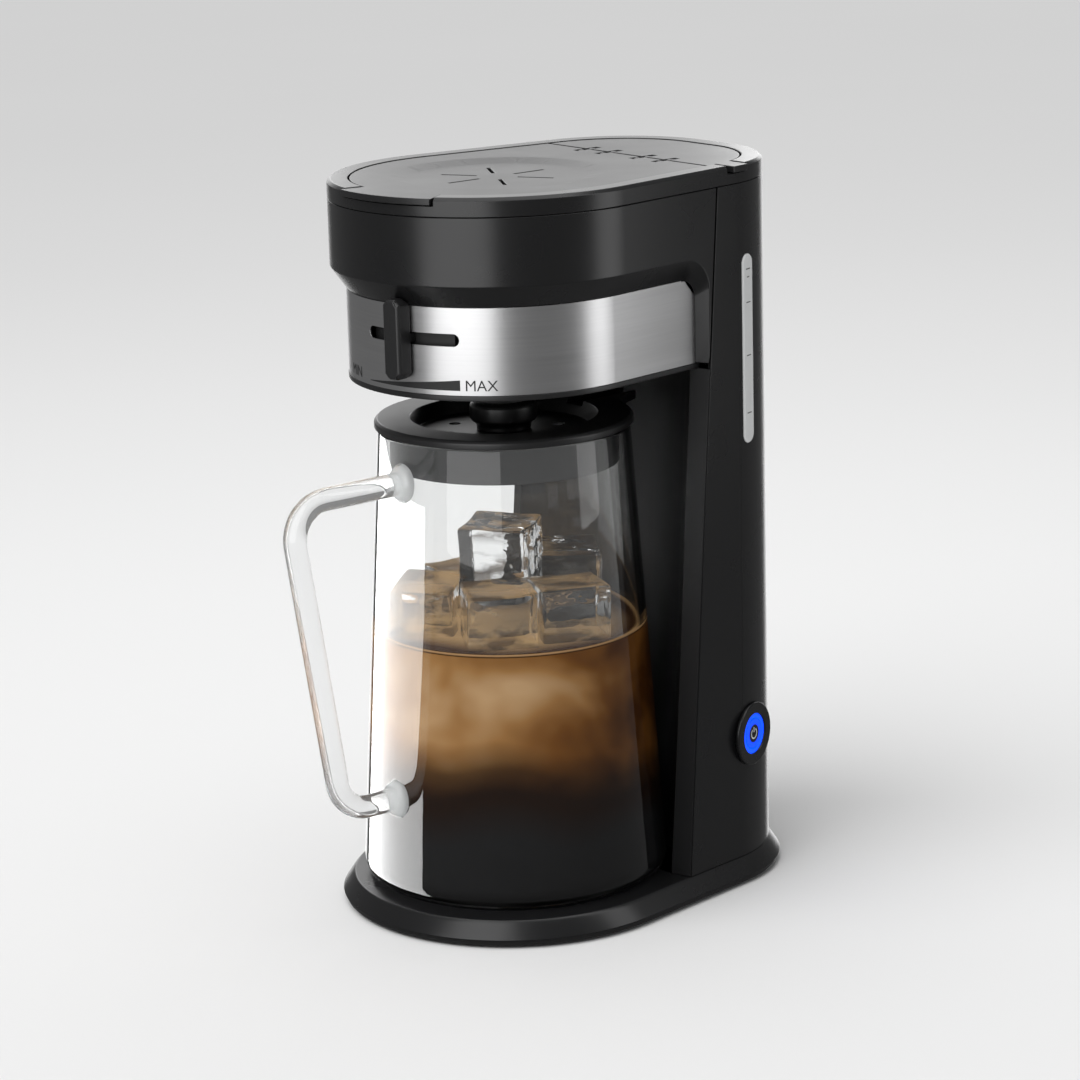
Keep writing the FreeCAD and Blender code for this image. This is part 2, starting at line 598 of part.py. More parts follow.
def make_top():
    ring = prism(0.0, RING_Z, TOP - RING_ROUND).fuse(taper(0.0, TOP - RING_ROUND, -RING_ROUND, TOP))
    ring = ring.cut(lid_field(0.0))
    ledge = prism(-RING_W + 1.0, RING_Z, LID_TOP - LID_T - 0.2).cut(prism(-RING_W - RING_LEDGE, RING_Z, TOP))
    swing = HINGE_EYE_R * 2 + LID_SPLIT + 1.2
    hollow = block(-NOSE_R, DIVIDE_Y - swing, RING_Z + BEAM_T, NOSE_R, DIVIDE_Y + swing, TOP)
    ledge = ledge.cut(hollow)
    beam = prism(-RING_W + 1.0, RING_Z, RING_Z + BEAM_T)
    beam = beam.common(block(-NOSE_R, DIVIDE_Y - swing, RING_Z, NOSE_R, DIVIDE_Y + swing, TOP))
    posts = []
    for side in (-1, 1):
        for x0, x1 in post_places():
            y = hinge_y(side)
            knuckle = Part.makeCylinder(HINGE_EYE_R, x1 - x0, Vector(x0, y, HINGE_Z), Vector(1, 0, 0))
            leg = block(x0, y - 1.8, RING_Z, x1, y + 1.8, HINGE_Z)
            bore = Part.makeCylinder(HINGE_R, x1 - x0, Vector(x0, y, HINGE_Z), Vector(1, 0, 0))
            posts.append(knuckle.fuse(leg).cut(bore))
    ring = joined(ring, ledge, beam, *posts)
    tab = wedge(TAB_MID - TAB_HALF - 0.6, TAB_MID + TAB_HALF + 0.6, NOSE_R * 1.6, TOP - TAB_T - 0.7, TOP)
    tab = tab.cut(cylinder(NOSE_R - RING_W - 1.0, 0, TOP))
    ring = ring.cut(tab)
    tab_from, tab_to = REAR_TAB
    rear_tab = block(REAR_X + 20, tab_from - 2.8, TOP - TAB_T - 0.7, NOSE_R + 4, tab_to + 0.6, TOP)
    ring = ring.cut(rear_tab.cut(prism(-RING_W - 1.0, 0, TOP)))
    parts["top_ring"] = ring

    z0 = LID_TOP - LID_T
    field = prism(-RING_W - LID_GAP, z0, LID_TOP)
    front = field.common(block(-NOSE_R, -NOSE_R, z0, NOSE_R, DIVIDE_Y - LID_SPLIT / 2, TOP))
    grip = cylinder(NOSE_R + TAB_OUT, LID_TOP - TAB_T, LID_TOP).cut(cylinder(NOSE_R - RING_W - 6, 0, TOP))
    grip = grip.common(wedge(TAB_MID - TAB_HALF, TAB_MID + TAB_HALF, NOSE_R * 1.6, 0, TOP))
    dish = Part.makeCone(DISH_FLOOR_R, DISH_R, DISH_DEPTH, Vector(0, 0, LID_TOP - DISH_DEPTH), UP)
    front = joined(front, grip).cut(dish)
    for i in range(6):
        vent = block(VENT_IN, -VENT_W / 2, z0 - 1, VENT_OUT, VENT_W / 2, TOP)
        front = front.cut(turned(vent, 30 + i * 60))
    parts["front_lid"] = hinged(front, -1)
    parts["front_lid_pin"] = hinge_pin(-1)

    rear = field.common(block(-NOSE_R, DIVIDE_Y + LID_SPLIT / 2, z0, NOSE_R, REAR_Y + REAR_R, TOP))
    rear_grip = block(REAR_X + 20, tab_from, LID_TOP - TAB_T, NOSE_R, tab_to, LID_TOP)
    rear_grip = rear_grip.common(prism(TAB_OUT, 0, TOP)).cut(prism(-RING_W - 6, 0, TOP))
    parts["tank_lid"] = hinged(joined(rear, rear_grip), 1)
    parts["tank_lid_pin"] = hinge_pin(1)


def hinge_y(side):
    """Hinge axis of the front lid (side -1) or the tank lid (side 1)."""
    return DIVIDE_Y + side * (LID_SPLIT / 2 + HINGE_EYE_R)


def post_places():
    """Both ends of each eye, where the ring's posts hold the pin."""
    places = []
    for x0, x1 in HINGE_EYES:
        places += [(x0 - FIT - HINGE_POST, x0 - FIT), (x1 + FIT, x1 + FIT + HINGE_POST)]
    return places


def hinged(lid, side):
    """Lid with its eyes, cut clear of the posts."""
    y = hinge_y(side)
    for x0, x1 in post_places():
        slot = block(x0 - FIT, y - HINGE_EYE_R - 1.6, HINGE_Z - 6, x1 + FIT, y + HINGE_EYE_R + 1.6, TOP)
        lid = lid.cut(slot)
    for x0, x1 in HINGE_EYES:
        eye = Part.makeCylinder(HINGE_EYE_R, x1 - x0, Vector(x0, y, HINGE_Z), Vector(1, 0, 0))
        lid = joined(lid, eye)
    reach = HINGE_EYES[1][1] + HINGE_POST + 1
    bore = Part.makeCylinder(HINGE_R + 0.05, reach * 2, Vector(-reach, y, HINGE_Z), Vector(1, 0, 0))
    return lid.cut(bore)


def hinge_pin(side):
    reach = HINGE_EYES[1][1] + FIT + HINGE_POST - 0.2
    pins = []
    for sign in (-1, 1):
        x0 = HINGE_EYES[1][0] - FIT - HINGE_POST + 0.2
        start = x0 if sign > 0 else -reach
        pins.append(Part.makeCylinder(HINGE_R, reach - x0, Vector(start, hinge_y(side), HINGE_Z), Vector(1, 0, 0)))
    return Part.makeCompound(pins)


# Water tank, window, tubes, heater
def make_water():
    gap, t = WALL + TANK_GAP, TANK_WALL
    low, high = TANK_Z, TANK_TOP
    room = prism(-gap, low, high).common(behind(low, high, back=LIP_DEPTH + 4, strip=False))
    room = room.cut(bay(WALL + TANK_GAP, low, HEAD_BOTTOM + 8).common(block(-200, -200, low, 200, 200, HEAD_BOTTOM + 8)))
    inner = prism(-gap - t, low + t, high).common(behind(low, high, back=LIP_DEPTH + 4 + t, strip=False))
    inner = inner.cut(bay(WALL + TANK_GAP + t, low, HEAD_BOTTOM + 8 + t))
    tank = room.cut(inner)
    tank = tank.cut(cylinder(TUBE_R, low, low + t, TUBE_X, TUBE_Y))
    parts["water_tank"] = tank

    pane = side_slot(WINDOW_W, WINDOW_Z[0], WINDOW_Z[1], REAR_R - WALL - 0.2, REAR_R + 0.5)
    parts["water_window"] = pane

    cock = cylinder(TUBE_R - 0.1, TANK_Z - SHELF_T - 8, TANK_Z + TANK_WALL + 2, TUBE_X, TUBE_Y)
    cock = cock.fuse(cylinder(TUBE_R + 2.4, TANK_Z + TANK_WALL, TANK_Z + TANK_WALL + 1.6, TUBE_X, TUBE_Y))
    parts["tank_outlet"] = cock.cut(cylinder(TUBE_BORE - 0.6, 0, TOP, TUBE_X, TUBE_Y)).removeSplitter()

    valve_z = TANK_Z - SHELF_T - 20
    body = cylinder(TUBE_R + 1.2, valve_z, valve_z + 12, TUBE_X, TUBE_Y)
    parts["check_valve"] = body.cut(cylinder(TUBE_BORE - 0.4, 0, TOP, TUBE_X, TUBE_Y))
    hose = cylinder(TUBE_R, HEATER_Z[1] + 4, valve_z, TUBE_X, TUBE_Y)
    parts["cold_hose"] = hose.cut(cylinder(TUBE_BORE, 0, TOP, TUBE_X, TUBE_Y))

    z0, z1 = HEATER_Z
    legs = [cylinder(HEATER_R, z0 + HEATER_R, z1, x, TUBE_Y) for x in (-HEATER_X, HEATER_X)]
    bend = Part.makeCylinder(HEATER_R, HEATER_X * 2, Vector(-HEATER_X, TUBE_Y, z0 + HEATER_R), Vector(1, 0, 0))
    balls = [Part.makeSphere(HEATER_R, Vector(x, TUBE_Y, z0 + HEATER_R)) for x in (-HEATER_X, HEATER_X)]
    caps = [cylinder(TUBE_R - 0.2, z1, z1 + 4, x, TUBE_Y) for x in (-HEATER_X, HEATER_X)]
    parts["heater_tube"] = joined(*(legs + [bend] + balls + caps))
    saddle = block(-10, TUBE_Y - HEATER_R - 2, BASE_TOP - WALL, 10, TUBE_Y + HEATER_R + 2, z0 + HEATER_R)
    saddle = saddle.cut(Part.makeCylinder(HEATER_R + 0.05, 60, Vector(-30, TUBE_Y, z0 + HEATER_R), Vector(1, 0, 0)))
    port_w, port_d, port_y = BASE_PORT
    bridge = block(-8, port_y - port_d / 2 + 0.05, BASE_TOP - WALL, 8, port_y + port_d / 2 - 0.05, BASE_TOP)
    parts["heater_clamp"] = joined(saddle, bridge)
    face, middle = TUBE_Y - HEATER_R, (z0 + HEATER_R + z1) / 2
    thermo = Part.makeCylinder(THERMO_R, THERMO_T, Vector(-HEATER_X, face, middle), Vector(0, -1, 0))
    strap = block(-HEATER_X - THERMO_R - 4, face - 1.2, middle - 2, -HEATER_X + THERMO_R + 4, face, middle + 2)
    parts["thermostat"] = joined(thermo, strap)


# Power button with its bezel, light ring and switch, and the inlet at the back
def make_power():
    face = REAR_R
    bezel = radial_cylinder(BEZEL_R, BUTTON_Z, face - 0.4, face + BEZEL_OUT)
    back = face + BUTTON_OUT - BUTTON_LEN - BUTTON_TRAVEL - 0.4
    bezel = bezel.fuse(radial_cylinder(RING_LIGHT_R + 0.4, BUTTON_Z, back - SWITCH_LEN / 2, face + 0.2))
    bezel = bezel.cut(radial_cylinder(RING_LIGHT_R - 0.4, BUTTON_Z, face - 20, face + 20))
    bezel = bezel.cut(prism_inside())
    parts["button_bezel"] = bezel
    light = radial_cylinder(RING_LIGHT_R - 0.4, BUTTON_Z, face - WALL - 1, face + 0.9)
    parts["light_ring"] = light.cut(radial_cylinder(BUTTON_R + 0.3, BUTTON_Z, face - 20, face + 20))
    cap = radial_cylinder(BUTTON_R, BUTTON_Z, face + BUTTON_OUT - BUTTON_LEN, face + BUTTON_OUT)
    parts["power_button"] = cap
    parts["power_switch"] = radial_cylinder(SWITCH_R, BUTTON_Z, back - SWITCH_LEN, back)

    y = REAR_Y + REAR_R
    gland = Part.makeCylinder(INLET_R - 1.2, WALL + 3, Vector(0, y - WALL - 2, INLET_Z), Vector(0, 1, 0))
    collar = Part.makeCylinder(INLET_R + 1.0, 1.6, Vector(0, y, INLET_Z), Vector(0, 1, 0))
    nut = Part.makeCylinder(INLET_R + 1.6, 2.0, Vector(0, y - WALL - 2.1, INLET_Z), Vector(0, 1, 0))
    gland = joined(gland, collar, nut)
    gland = gland.cut(Part.makeCylinder(3.0, 30, Vector(0, y - 15, INLET_Z), Vector(0, 1, 0)))
    parts["cord_inlet"] = gland


def prism_inside():
    """What lies within the tower's wall line, less the button's own hole."""
    hole = radial_cylinder(RING_LIGHT_R + 0.4, BUTTON_Z, REAR_R - 30, REAR_R + 30)
    return prism(0.0, BUTTON_Z - 30, BUTTON_Z + 30).cut(hole)


# Pitcher: glass with its welded handle, lid with collar, spout and knob
def make_pitcher():
    slope = (PITCHER_LOW_R - PITCHER_TOP_R) / (PITCHER_TOP_Z - PITCHER_Z - PITCHER_CORNER)
    knee_z = PITCHER_Z + PITCHER_CORNER
    c = PITCHER_CORNER

    def arc(r, z, radius):
        s = radius * (1 - math.sqrt(0.5))
        return Part.Arc(Vector(r - radius, 0, z), Vector(r - s, 0, z + s), Vector(r, 0, z + radius)).toShape()

    def cup(r_low, r_high, z0, z1, radius):
        edges = [Part.LineSegment(Vector(0, 0, z0), Vector(r_low - radius, 0, z0)).toShape(),
                 arc(r_low, z0, radius),
                 Part.LineSegment(Vector(r_low, 0, z0 + radius), Vector(r_high, 0, z1)).toShape(),
                 Part.LineSegment(Vector(r_high, 0, z1), Vector(0, 0, z1)).toShape(),
                 Part.LineSegment(Vector(0, 0, z1), Vector(0, 0, z0)).toShape()]
        return Part.Face(Part.Wire(edges)).revolve(Vector(0, 0, 0), UP, 360)

    outside = cup(PITCHER_LOW_R, PITCHER_TOP_R, PITCHER_Z, PITCHER_TOP_Z, c)
    over = 1.0
    inside = cup(PITCHER_LOW_R - GLASS_T, PITCHER_TOP_R - GLASS_T - slope * over,
                 PITCHER_Z + GLASS_FLOOR_T, PITCHER_TOP_Z + over, c - GLASS_T / 2)
    hi, lo = HANDLE_HIGH_Z, HANDLE_LOW_Z

    def glass_y(z):
        return -(PITCHER_LOW_R - slope * (z - knee_z))

    path = [Vector(0, glass_y(hi) + GLASS_T / 2, hi), Vector(0, -HANDLE_OUT, hi),
            Vector(0, -HANDLE_LOW_OUT, lo), Vector(0, glass_y(lo) + GLASS_T / 2, lo)]
    handle = rod(path, HANDLE_BEND, HANDLE_R)
    welds = []
    tilt = math.atan(slope)
    for z in (hi, lo):
        axis = Vector(0, -math.cos(tilt), math.sin(tilt))
        start = Vector(0, glass_y(z) + 1.5, z)
        welds.append(Part.makeCone(WELD_R, WELD_R - 1.5, WELD_T + 1.5, start, axis))
    glass = outside.fuse([handle] + welds).cut(inside).removeSplitter()
    parts["pitcher_glass"] = glass

    z = PITCHER_TOP_Z + FIT
    top = z + LID_FLANGE_T
    lid_floor = top - LID_WELL_DEPTH
    body = lathe([(0, lid_floor - 2.0), (LID_WELL_R + 2, lid_floor - 2.0), (LID_WELL_R + 2, z - 2.0),
                  (COLLAR_R - COLLAR_T, z - 2.0), (COLLAR_R - COLLAR_T, COLLAR_Z), (COLLAR_R, COLLAR_Z), (COLLAR_R, z),
                  (LID_FLANGE_R, z), (LID_FLANGE_R, top - 1.4), (LID_FLANGE_R - 1.4, top), (LID_WELL_R, top),
                  (LID_WELL_R - 3.0, lid_floor), (0, lid_floor)])
    reach, half = SPOUT_REACH, 15.0
    beak = [Vector(-half, LID_FLANGE_R - 6, z), Vector(half, LID_FLANGE_R - 6, z), Vector(5, reach, z),
            Vector(-5, reach, z)]
    spout = Part.Face(Part.makePolygon(beak + [beak[0]])).extrude(Vector(0, 0, LID_FLANGE_T))
    notch = [Vector(-6, LID_WELL_R - 6, top - 2.4), Vector(6, LID_WELL_R - 6, top - 2.4), Vector(3.4, reach + 2, top - 2.4),
             Vector(-3.4, reach + 2, top - 2.4)]
    channel = Part.Face(Part.makePolygon(notch + [notch[0]])).extrude(Vector(0, 0, 6))
    body = joined(body, spout).cut(channel)
    body = body.cut(cylinder(KNOB_BORE, lid_floor - 4, top))
    for i in range(8):
        a = math.pi * (i + 0.5) / 4
        body = body.cut(cylinder(2.6, lid_floor - 4, lid_floor + 1, 26 * math.cos(a), 26 * math.sin(a)))
    parts["pitcher_lid"] = body

    k0, k1, r = lid_floor, KNOB_TOP_Z, KNOB_R
    parts["lid_knob"] = lathe([(KNOB_BORE, k0), (r - 3, k0), (r - 3, k0 + 3), (r, k0 + 5), (r, k1 - 3.0), (r - 1.0, k1 - 1.0),
                               (r - 3.4, k1), (KNOB_BORE, k1)])


def rod(points, bend, radius):
    """Round rod along straight runs with equal round bends."""
    edges = []
    start = points[0]
    for i in range(1, len(points) - 1):
        p, a, b = points[i], points[i - 1], points[i + 1]
        u = (a - p).normalize()
        v = (b - p).normalize()
        half = math.acos(max(-1, min(1, u.dot(v)))) / 2
        back = bend / math.tan(half)
        mid_dir = (u + v).normalize()
        centre = p + mid_dir * (bend / math.sin(half))
        first, last = p + u * back, p + v * back
        middle = centre - mid_dir * bend
        edges.append(Part.LineSegment(start, first).toShape())
        edges.append(Part.Arc(first, middle, last).toShape())
        start = last
    edges.append(Part.LineSegment(start, points[-1]).toShape())
    path = Part.Wire(edges)
    direction = (points[1] - points[0]).normalize()
    section = Part.Wire(Part.Circle(points[0], direction, radius).toShape())
    return path.makePipeShell([section], True, False)


def save():
    os.makedirs("parts", exist_ok=True)
    front, rear = -HANDLE_OUT - HANDLE_R, REAR_Y + REAR_R + SKIRT_OUT
    middle = (front + rear) / 2
    print("pitcher axis at y = %.3f" % -middle)
    for name, shape in parts.items():
        if not shape.isValid():
            print("invalid", name)
        solids = shape.Solids
        if len(solids) > 1:
            shape = Part.makeCompound(solids)
        else:
            shape = solids[0]
        shape.translate(Vector(0, -middle, 0))
        box = shape.BoundBox
        print("%-16s %2d solids  volume %9.0f  z %6.1f to %6.1f" % (name, len(solids), shape.Volume, box.ZMin, box.ZMax))
        shape.exportStep("parts/" + name + ".step")


make_base()
make_tower()
make_head()
make_brew()
make_lever()
make_top()
make_water()
make_power()
make_pitcher()
save()
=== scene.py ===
# Counter-top cold brew coffee maker with a round brewing head over a glass pitcher of iced coffee.
# All sizes are in metres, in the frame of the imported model: -Y is the handle side, +X the button side.
import json
import math

import bmesh
import bpy
from mathutils import Matrix, Vector, noise

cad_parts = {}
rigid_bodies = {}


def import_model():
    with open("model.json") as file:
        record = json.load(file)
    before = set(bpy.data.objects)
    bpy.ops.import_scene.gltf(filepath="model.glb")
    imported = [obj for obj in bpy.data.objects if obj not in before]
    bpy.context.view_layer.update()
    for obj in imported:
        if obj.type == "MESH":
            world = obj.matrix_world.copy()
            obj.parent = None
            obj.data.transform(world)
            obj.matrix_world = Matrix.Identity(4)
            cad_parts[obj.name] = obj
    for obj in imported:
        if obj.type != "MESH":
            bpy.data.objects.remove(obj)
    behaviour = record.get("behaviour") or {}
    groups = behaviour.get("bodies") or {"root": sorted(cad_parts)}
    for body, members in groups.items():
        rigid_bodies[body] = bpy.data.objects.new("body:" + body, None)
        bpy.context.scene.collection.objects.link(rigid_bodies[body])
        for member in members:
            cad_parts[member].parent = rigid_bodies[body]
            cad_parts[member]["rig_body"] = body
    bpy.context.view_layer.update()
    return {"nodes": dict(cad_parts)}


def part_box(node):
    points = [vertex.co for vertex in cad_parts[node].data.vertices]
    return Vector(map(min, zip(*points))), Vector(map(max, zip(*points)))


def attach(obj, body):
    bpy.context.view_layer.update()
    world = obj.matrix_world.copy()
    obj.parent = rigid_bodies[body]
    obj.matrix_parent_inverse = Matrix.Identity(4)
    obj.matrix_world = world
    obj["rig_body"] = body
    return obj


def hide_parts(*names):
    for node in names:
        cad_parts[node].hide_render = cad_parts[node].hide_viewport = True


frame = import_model()
MM = 0.001

# The pitcher's upright axis, which the head, the basket and the lever share. It runs through the
# middle of the knob on the pitcher's lid.
knob_low, knob_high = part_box("lid_knob")
AXIS = Vector(((knob_low.x + knob_high.x) / 2, (knob_low.y + knob_high.y) / 2, 0))

# Camera: a long lens from the front right, a little above, turned slightly about its own axis.
# The photograph's frame is square, and the object stands a little left of its middle.
VIEW_TURN = math.radians(52)
VIEW_RISE = math.radians(14.3)
VIEW_ROLL = math.radians(1.66)
VIEW_DISTANCE = 1.6
LOOK_HEIGHT = 0.170
PHOTO_SIDE = 1080
FOCAL_PX = 3472
LOOK_PX = (507.2, 538.9)
SENSOR = 36.0
toward = Vector((math.sin(VIEW_TURN), -math.cos(VIEW_TURN), 0))
across = Vector((math.cos(VIEW_TURN), math.sin(VIEW_TURN), 0))
back = toward * math.cos(VIEW_RISE) + Vector((0, 0, math.sin(VIEW_RISE)))
above = back.cross(across)
right = across * math.cos(VIEW_ROLL) - above * math.sin(VIEW_ROLL)
up = across * math.sin(VIEW_ROLL) + above * math.cos(VIEW_ROLL)
lens = bpy.data.cameras.new("camera")
lens.sensor_width = SENSOR
lens.lens = SENSOR * FOCAL_PX / PHOTO_SIDE
lens.shift_x = (PHOTO_SIDE / 2 - LOOK_PX[0]) / PHOTO_SIDE
lens.shift_y = (LOOK_PX[1] - PHOTO_SIDE / 2) / PHOTO_SIDE
camera = bpy.data.objects.new("camera", lens)
bpy.context.scene.collection.objects.link(camera)
eye = AXIS + Vector((0, 0, LOOK_HEIGHT)) + back * VIEW_DISTANCE
camera.matrix_world = Matrix.Translation(eye) @ Matrix((right, up, back)).transposed().to_4x4()
bpy.context.scene.camera = camera
bpy.context.scene.view_settings.view_transform = "Standard"


# Base: a flat black foot with a sloping skirt, screwed to a bottom plate that stands on four rubber
# pads. Each is moulded in one piece, with edges that the mould leaves slightly round. The pitcher's
# bottom sits on the foot's top face.
class Wire:
    """A socket of a finish that takes part in sums."""

    def __init__(self, sheet, socket):
        self.sheet = sheet
        self.socket = socket

    def sum(self, operation, one, two):
        return self.sheet.node("Math", {"operation": operation}, s0=one, s1=two)

    def __add__(self, other):
        return self.sum("ADD", self, other)

    def __sub__(self, other):
        return self.sum("SUBTRACT", self, other)

    def __rsub__(self, other):
        return self.sum("SUBTRACT", other, self)

    def __mul__(self, other):
        return self.sum("MULTIPLY", self, other)

    __radd__ = __add__
    __rmul__ = __mul__


class Sheet:
    """One finish with its nodes. Its patterns are laid out in the object's own coordinates, in metres."""

    def __init__(self, name, **plain):
        self.material = bpy.data.materials.new(name)
        self.material.use_nodes = True
        self.tree = self.material.node_tree
        self.shader = self.tree.nodes["Principled BSDF"]
        self.place = self.node("TexCoord", out="Object")
        self.set(**plain)

    def put(self, made_node, key, value):
        """A key is a socket's name with _ for each space, or s and the socket's number."""
        inputs = made_node.inputs
        socket = inputs[int(key[1:])] if key[1:].isdigit() else inputs[key.replace("_", " ")]
        if isinstance(value, Wire):
            self.tree.links.new(value.socket, socket)
        else:
            socket.default_value = value

    def node(self, kind, settings=None, out=0, **sockets):
        made_node = self.tree.nodes.new("ShaderNode" + kind)
        for key, value in (settings or {}).items():
            if key == "stops":
                ramp = made_node.color_ramp
                while len(ramp.elements) < len(value):
                    ramp.elements.new(0.5)
                for element, (position, colour) in zip(ramp.elements, value):
                    element.position = position
                    element.color = (*colour, 1)
            else:
                setattr(made_node, key, value)
        for key, value in sockets.items():
            self.put(made_node, key, value)
        return Wire(self, made_node.outputs[out])

    def set(self, **sockets):
        for key, value in sockets.items():
            if isinstance(value, tuple) and len(value) == 3:
                value = (*value, 1)
            self.put(self.shader, key, value)

    def grain(self, scale, stretch=(1, 1, 1), detail=2.0, shift=(0, 0, 0)):
        """Noise between 0 and 1, in grains of about 1 / scale metres, stretched along the axes."""
        laid = self.node("Mapping", Vector=self.place, Scale=stretch, Location=shift)
        return self.node("TexNoise", Vector=laid, Scale=scale, Detail=detail)

    def blend(self, share, one, two):
        """Colour one where share is 0, colour two where it is 1."""
        return self.node("Mix", {"data_type": "RGBA"}, out=2, Factor=share, s6=one, s7=two)

    def bump(self, height, strength, depth):
        self.set(Normal=self.node("Bump", Strength=strength, Distance=depth, Height=height))


CLOUD_SCALE = 35
TONE_SCALE = 9
TONE_RISE = 1.35
PEEL_DEPTH = 0.05 * MM


def moulded(name, colour, low, high, grain_size, peel):
    """Moulded plastic: roughness between low and high in soft clouds, and a fine skin in its surface."""
    sheet = Sheet(name)
    clouds = sheet.grain(CLOUD_SCALE)
    tone = sheet.blend(sheet.grain(TONE_SCALE), (*colour, 1), (*[c * TONE_RISE for c in colour], 1))
    sheet.set(Base_Color=tone, Roughness=clouds * (high - low) + low)
    sheet.bump(sheet.grain(1 / grain_size), peel, PEEL_DEPTH)
    return sheet.material


GLOSS = moulded("gloss black plastic", (0.0075, 0.0075, 0.0080), 0.25, 0.31, 4 * MM, 0.015)
SATIN = moulded("satin black plastic", (0.011, 0.011, 0.0115), 0.30, 0.38, 0.6 * MM, 0.25)
RUBBER = moulded("black rubber", (0.020, 0.020, 0.020), 0.70, 0.82, 0.6 * MM, 0.50)


def paint(node, material):
    """Gives a carried-over piece its finish."""
    slots = frame["nodes"][node].material_slots
    if slots:
        for slot in slots:
            slot.material = material
    else:
        frame["nodes"][node].data.materials.append(material)


def made(form, name, smooth=False):
    """The object of that name from a form that is finished."""
    if smooth:
        for face in form.faces:
            face.smooth = True
    mesh = bpy.data.meshes.new(name)
    form.to_mesh(mesh)
    form.free()
    return bpy.data.objects.new(name, mesh)


def shown(piece, body, slot, material, *replaced):
    """Puts a finished piece in the scene on its body."""
    bpy.context.scene.collection.objects.link(piece)
    piece.data.materials.clear()
    piece.data.materials.append(material)
    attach(piece, body)
    if replaced:
        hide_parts(*replaced)
    return piece


FLAT_ANGLE = math.radians(0.4)
SHARP_ANGLE = math.radians(30)
SEAM = 0.002 * MM


def eased(node, slot, material, edge=0.4 * MM, steps=2):
    """The rigid piece of that name with its sharp edges eased over, as a mould leaves them."""
    source = frame["nodes"][node]
    form = bmesh.new()
    form.from_mesh(source.data)
    bmesh.ops.remove_doubles(form, verts=form.verts, dist=SEAM)
    bmesh.ops.dissolve_limit(form, angle_limit=FLAT_ANGLE, verts=form.verts, edges=form.edges)
    piece = made(form, node + "_skin", smooth=True)
    ease = piece.modifiers.new("eased edges", "BEVEL")
    ease.width = edge
    ease.segments = steps
    ease.limit_method = "ANGLE"
    ease.angle_limit = SHARP_ANGLE
    ease.use_clamp_overlap = False
    even = piece.modifiers.new("even shading", "WEIGHTED_NORMAL")
    even.keep_sharp = True
    return shown(piece, source["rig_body"], slot, material, node)


eased("base_shell", "gloss_black", GLOSS, 0.5 * MM)
eased("base_plate", "matt_black", SATIN, 0.3 * MM)
paint("rubber_feet", RUBBER)

# Tower: a front housing hollowed round for the pitcher, in satin black, and a rear housing over the
# water tank, in gloss black. They are moulded apart and meet along a thin seam.
BAY = moulded("satin bay plastic", (0.010, 0.010, 0.0105), 0.34, 0.42, 0.8 * MM, 0.2)
BAY.node_tree.nodes["Principled BSDF"].inputs["Specular IOR Level"].default_value = 0.25
eased("front_housing", "gloss_black", BAY, 0.4 * MM)
eased("rear_housing", "gloss_black", GLOSS, 0.3 * MM)

# Head: the shell with its stepped recess, the floor under it and the ring that holds both lids. All
# are black mouldings, pressed together along the seams that show.
eased("head_shell", "gloss_black", GLOSS, 0.5 * MM)
eased("head_floor", "matt_black", SATIN, 0.4 * MM)
eased("top_ring", "gloss_black", GLOSS, 0.35 * MM)

# Lids: satin covers over the brew basket and the water tank, each with a finger tab at its edge. They
# turn on two pins in the gap between them.
eased("front_lid", "gloss_black", SATIN, 0.4 * MM)
eased("tank_lid", "gloss_black", SATIN, 0.4 * MM)

# Strength lever: a black bar with cut corners, moulded in one with the neck that holds it in the
# band's slot.
LEVER = moulded("lever plastic", (0.013, 0.013, 0.0135), 0.30, 0.40, 0.6 * MM, 0.3)
eased("strength_lever", "gloss_black", LEVER, 0.5 * MM)


# Steel band: thin stainless sheet bent round the drum. It was brushed along its length, so fine
# lines run round it, and lights spread up and down its face.
def brushed_steel():
    sheet = Sheet("brushed steel", Metallic=1.0)
    lines = sheet.grain(900, (0.02, 0.02, 1.0), 4.0)
    broad = sheet.grain(60, (0.1, 0.1, 1.0), 2.0)
    tone = sheet.blend(lines * 0.6 + broad * 0.4, (0.50, 0.50, 0.505, 1), (0.66, 0.66, 0.665, 1))
    sheet.set(Base_Color=tone, Roughness=lines * 0.10 + 0.27)
    sheet.bump(lines, 0.15, 0.04 * MM)
    return sheet.material


eased("steel_band", "steel", brushed_steel(), 0.12 * MM)

# Printed scale below the slot: MIN and MAX with a wedge that grows between them, in black ink on
# the steel. The letters are flat meshes bent round the band.
BAND_R = 69.5 * MM
PRINT_LOW = 254.2 * MM
PRINT_TALL = 4.7 * MM
PRINT_T = 0.05 * MM
WEDGE_START = math.radians(-5.5)
WEDGE_END = math.radians(36.5)
WEDGE_TIP = 0.3 * MM
WEDGE_STEPS = 24
MIN_TURN = math.radians(-17.0)
MAX_TURN = math.radians(44.3)


def ink(name, colour):
    """Printing ink, a little uneven in its tone."""
    sheet = Sheet(name, Roughness=0.55)
    sheet.set(Base_Color=sheet.blend(sheet.grain(3000), (*colour, 1), (*[c * 0.8 for c in colour], 1)))
    return sheet.material


BLACK_INK = ink("black ink", (0.015, 0.015, 0.016))


def meshed(curve):
    """The mesh of a text or of a round rod."""
    source = bpy.data.objects.new(curve.name, curve)
    bpy.context.scene.collection.objects.link(source)
    bpy.context.view_layer.update()
    mesh = bpy.data.meshes.new_from_object(source.evaluated_get(bpy.context.evaluated_depsgraph_get()))
    bpy.data.objects.remove(source)
    return mesh


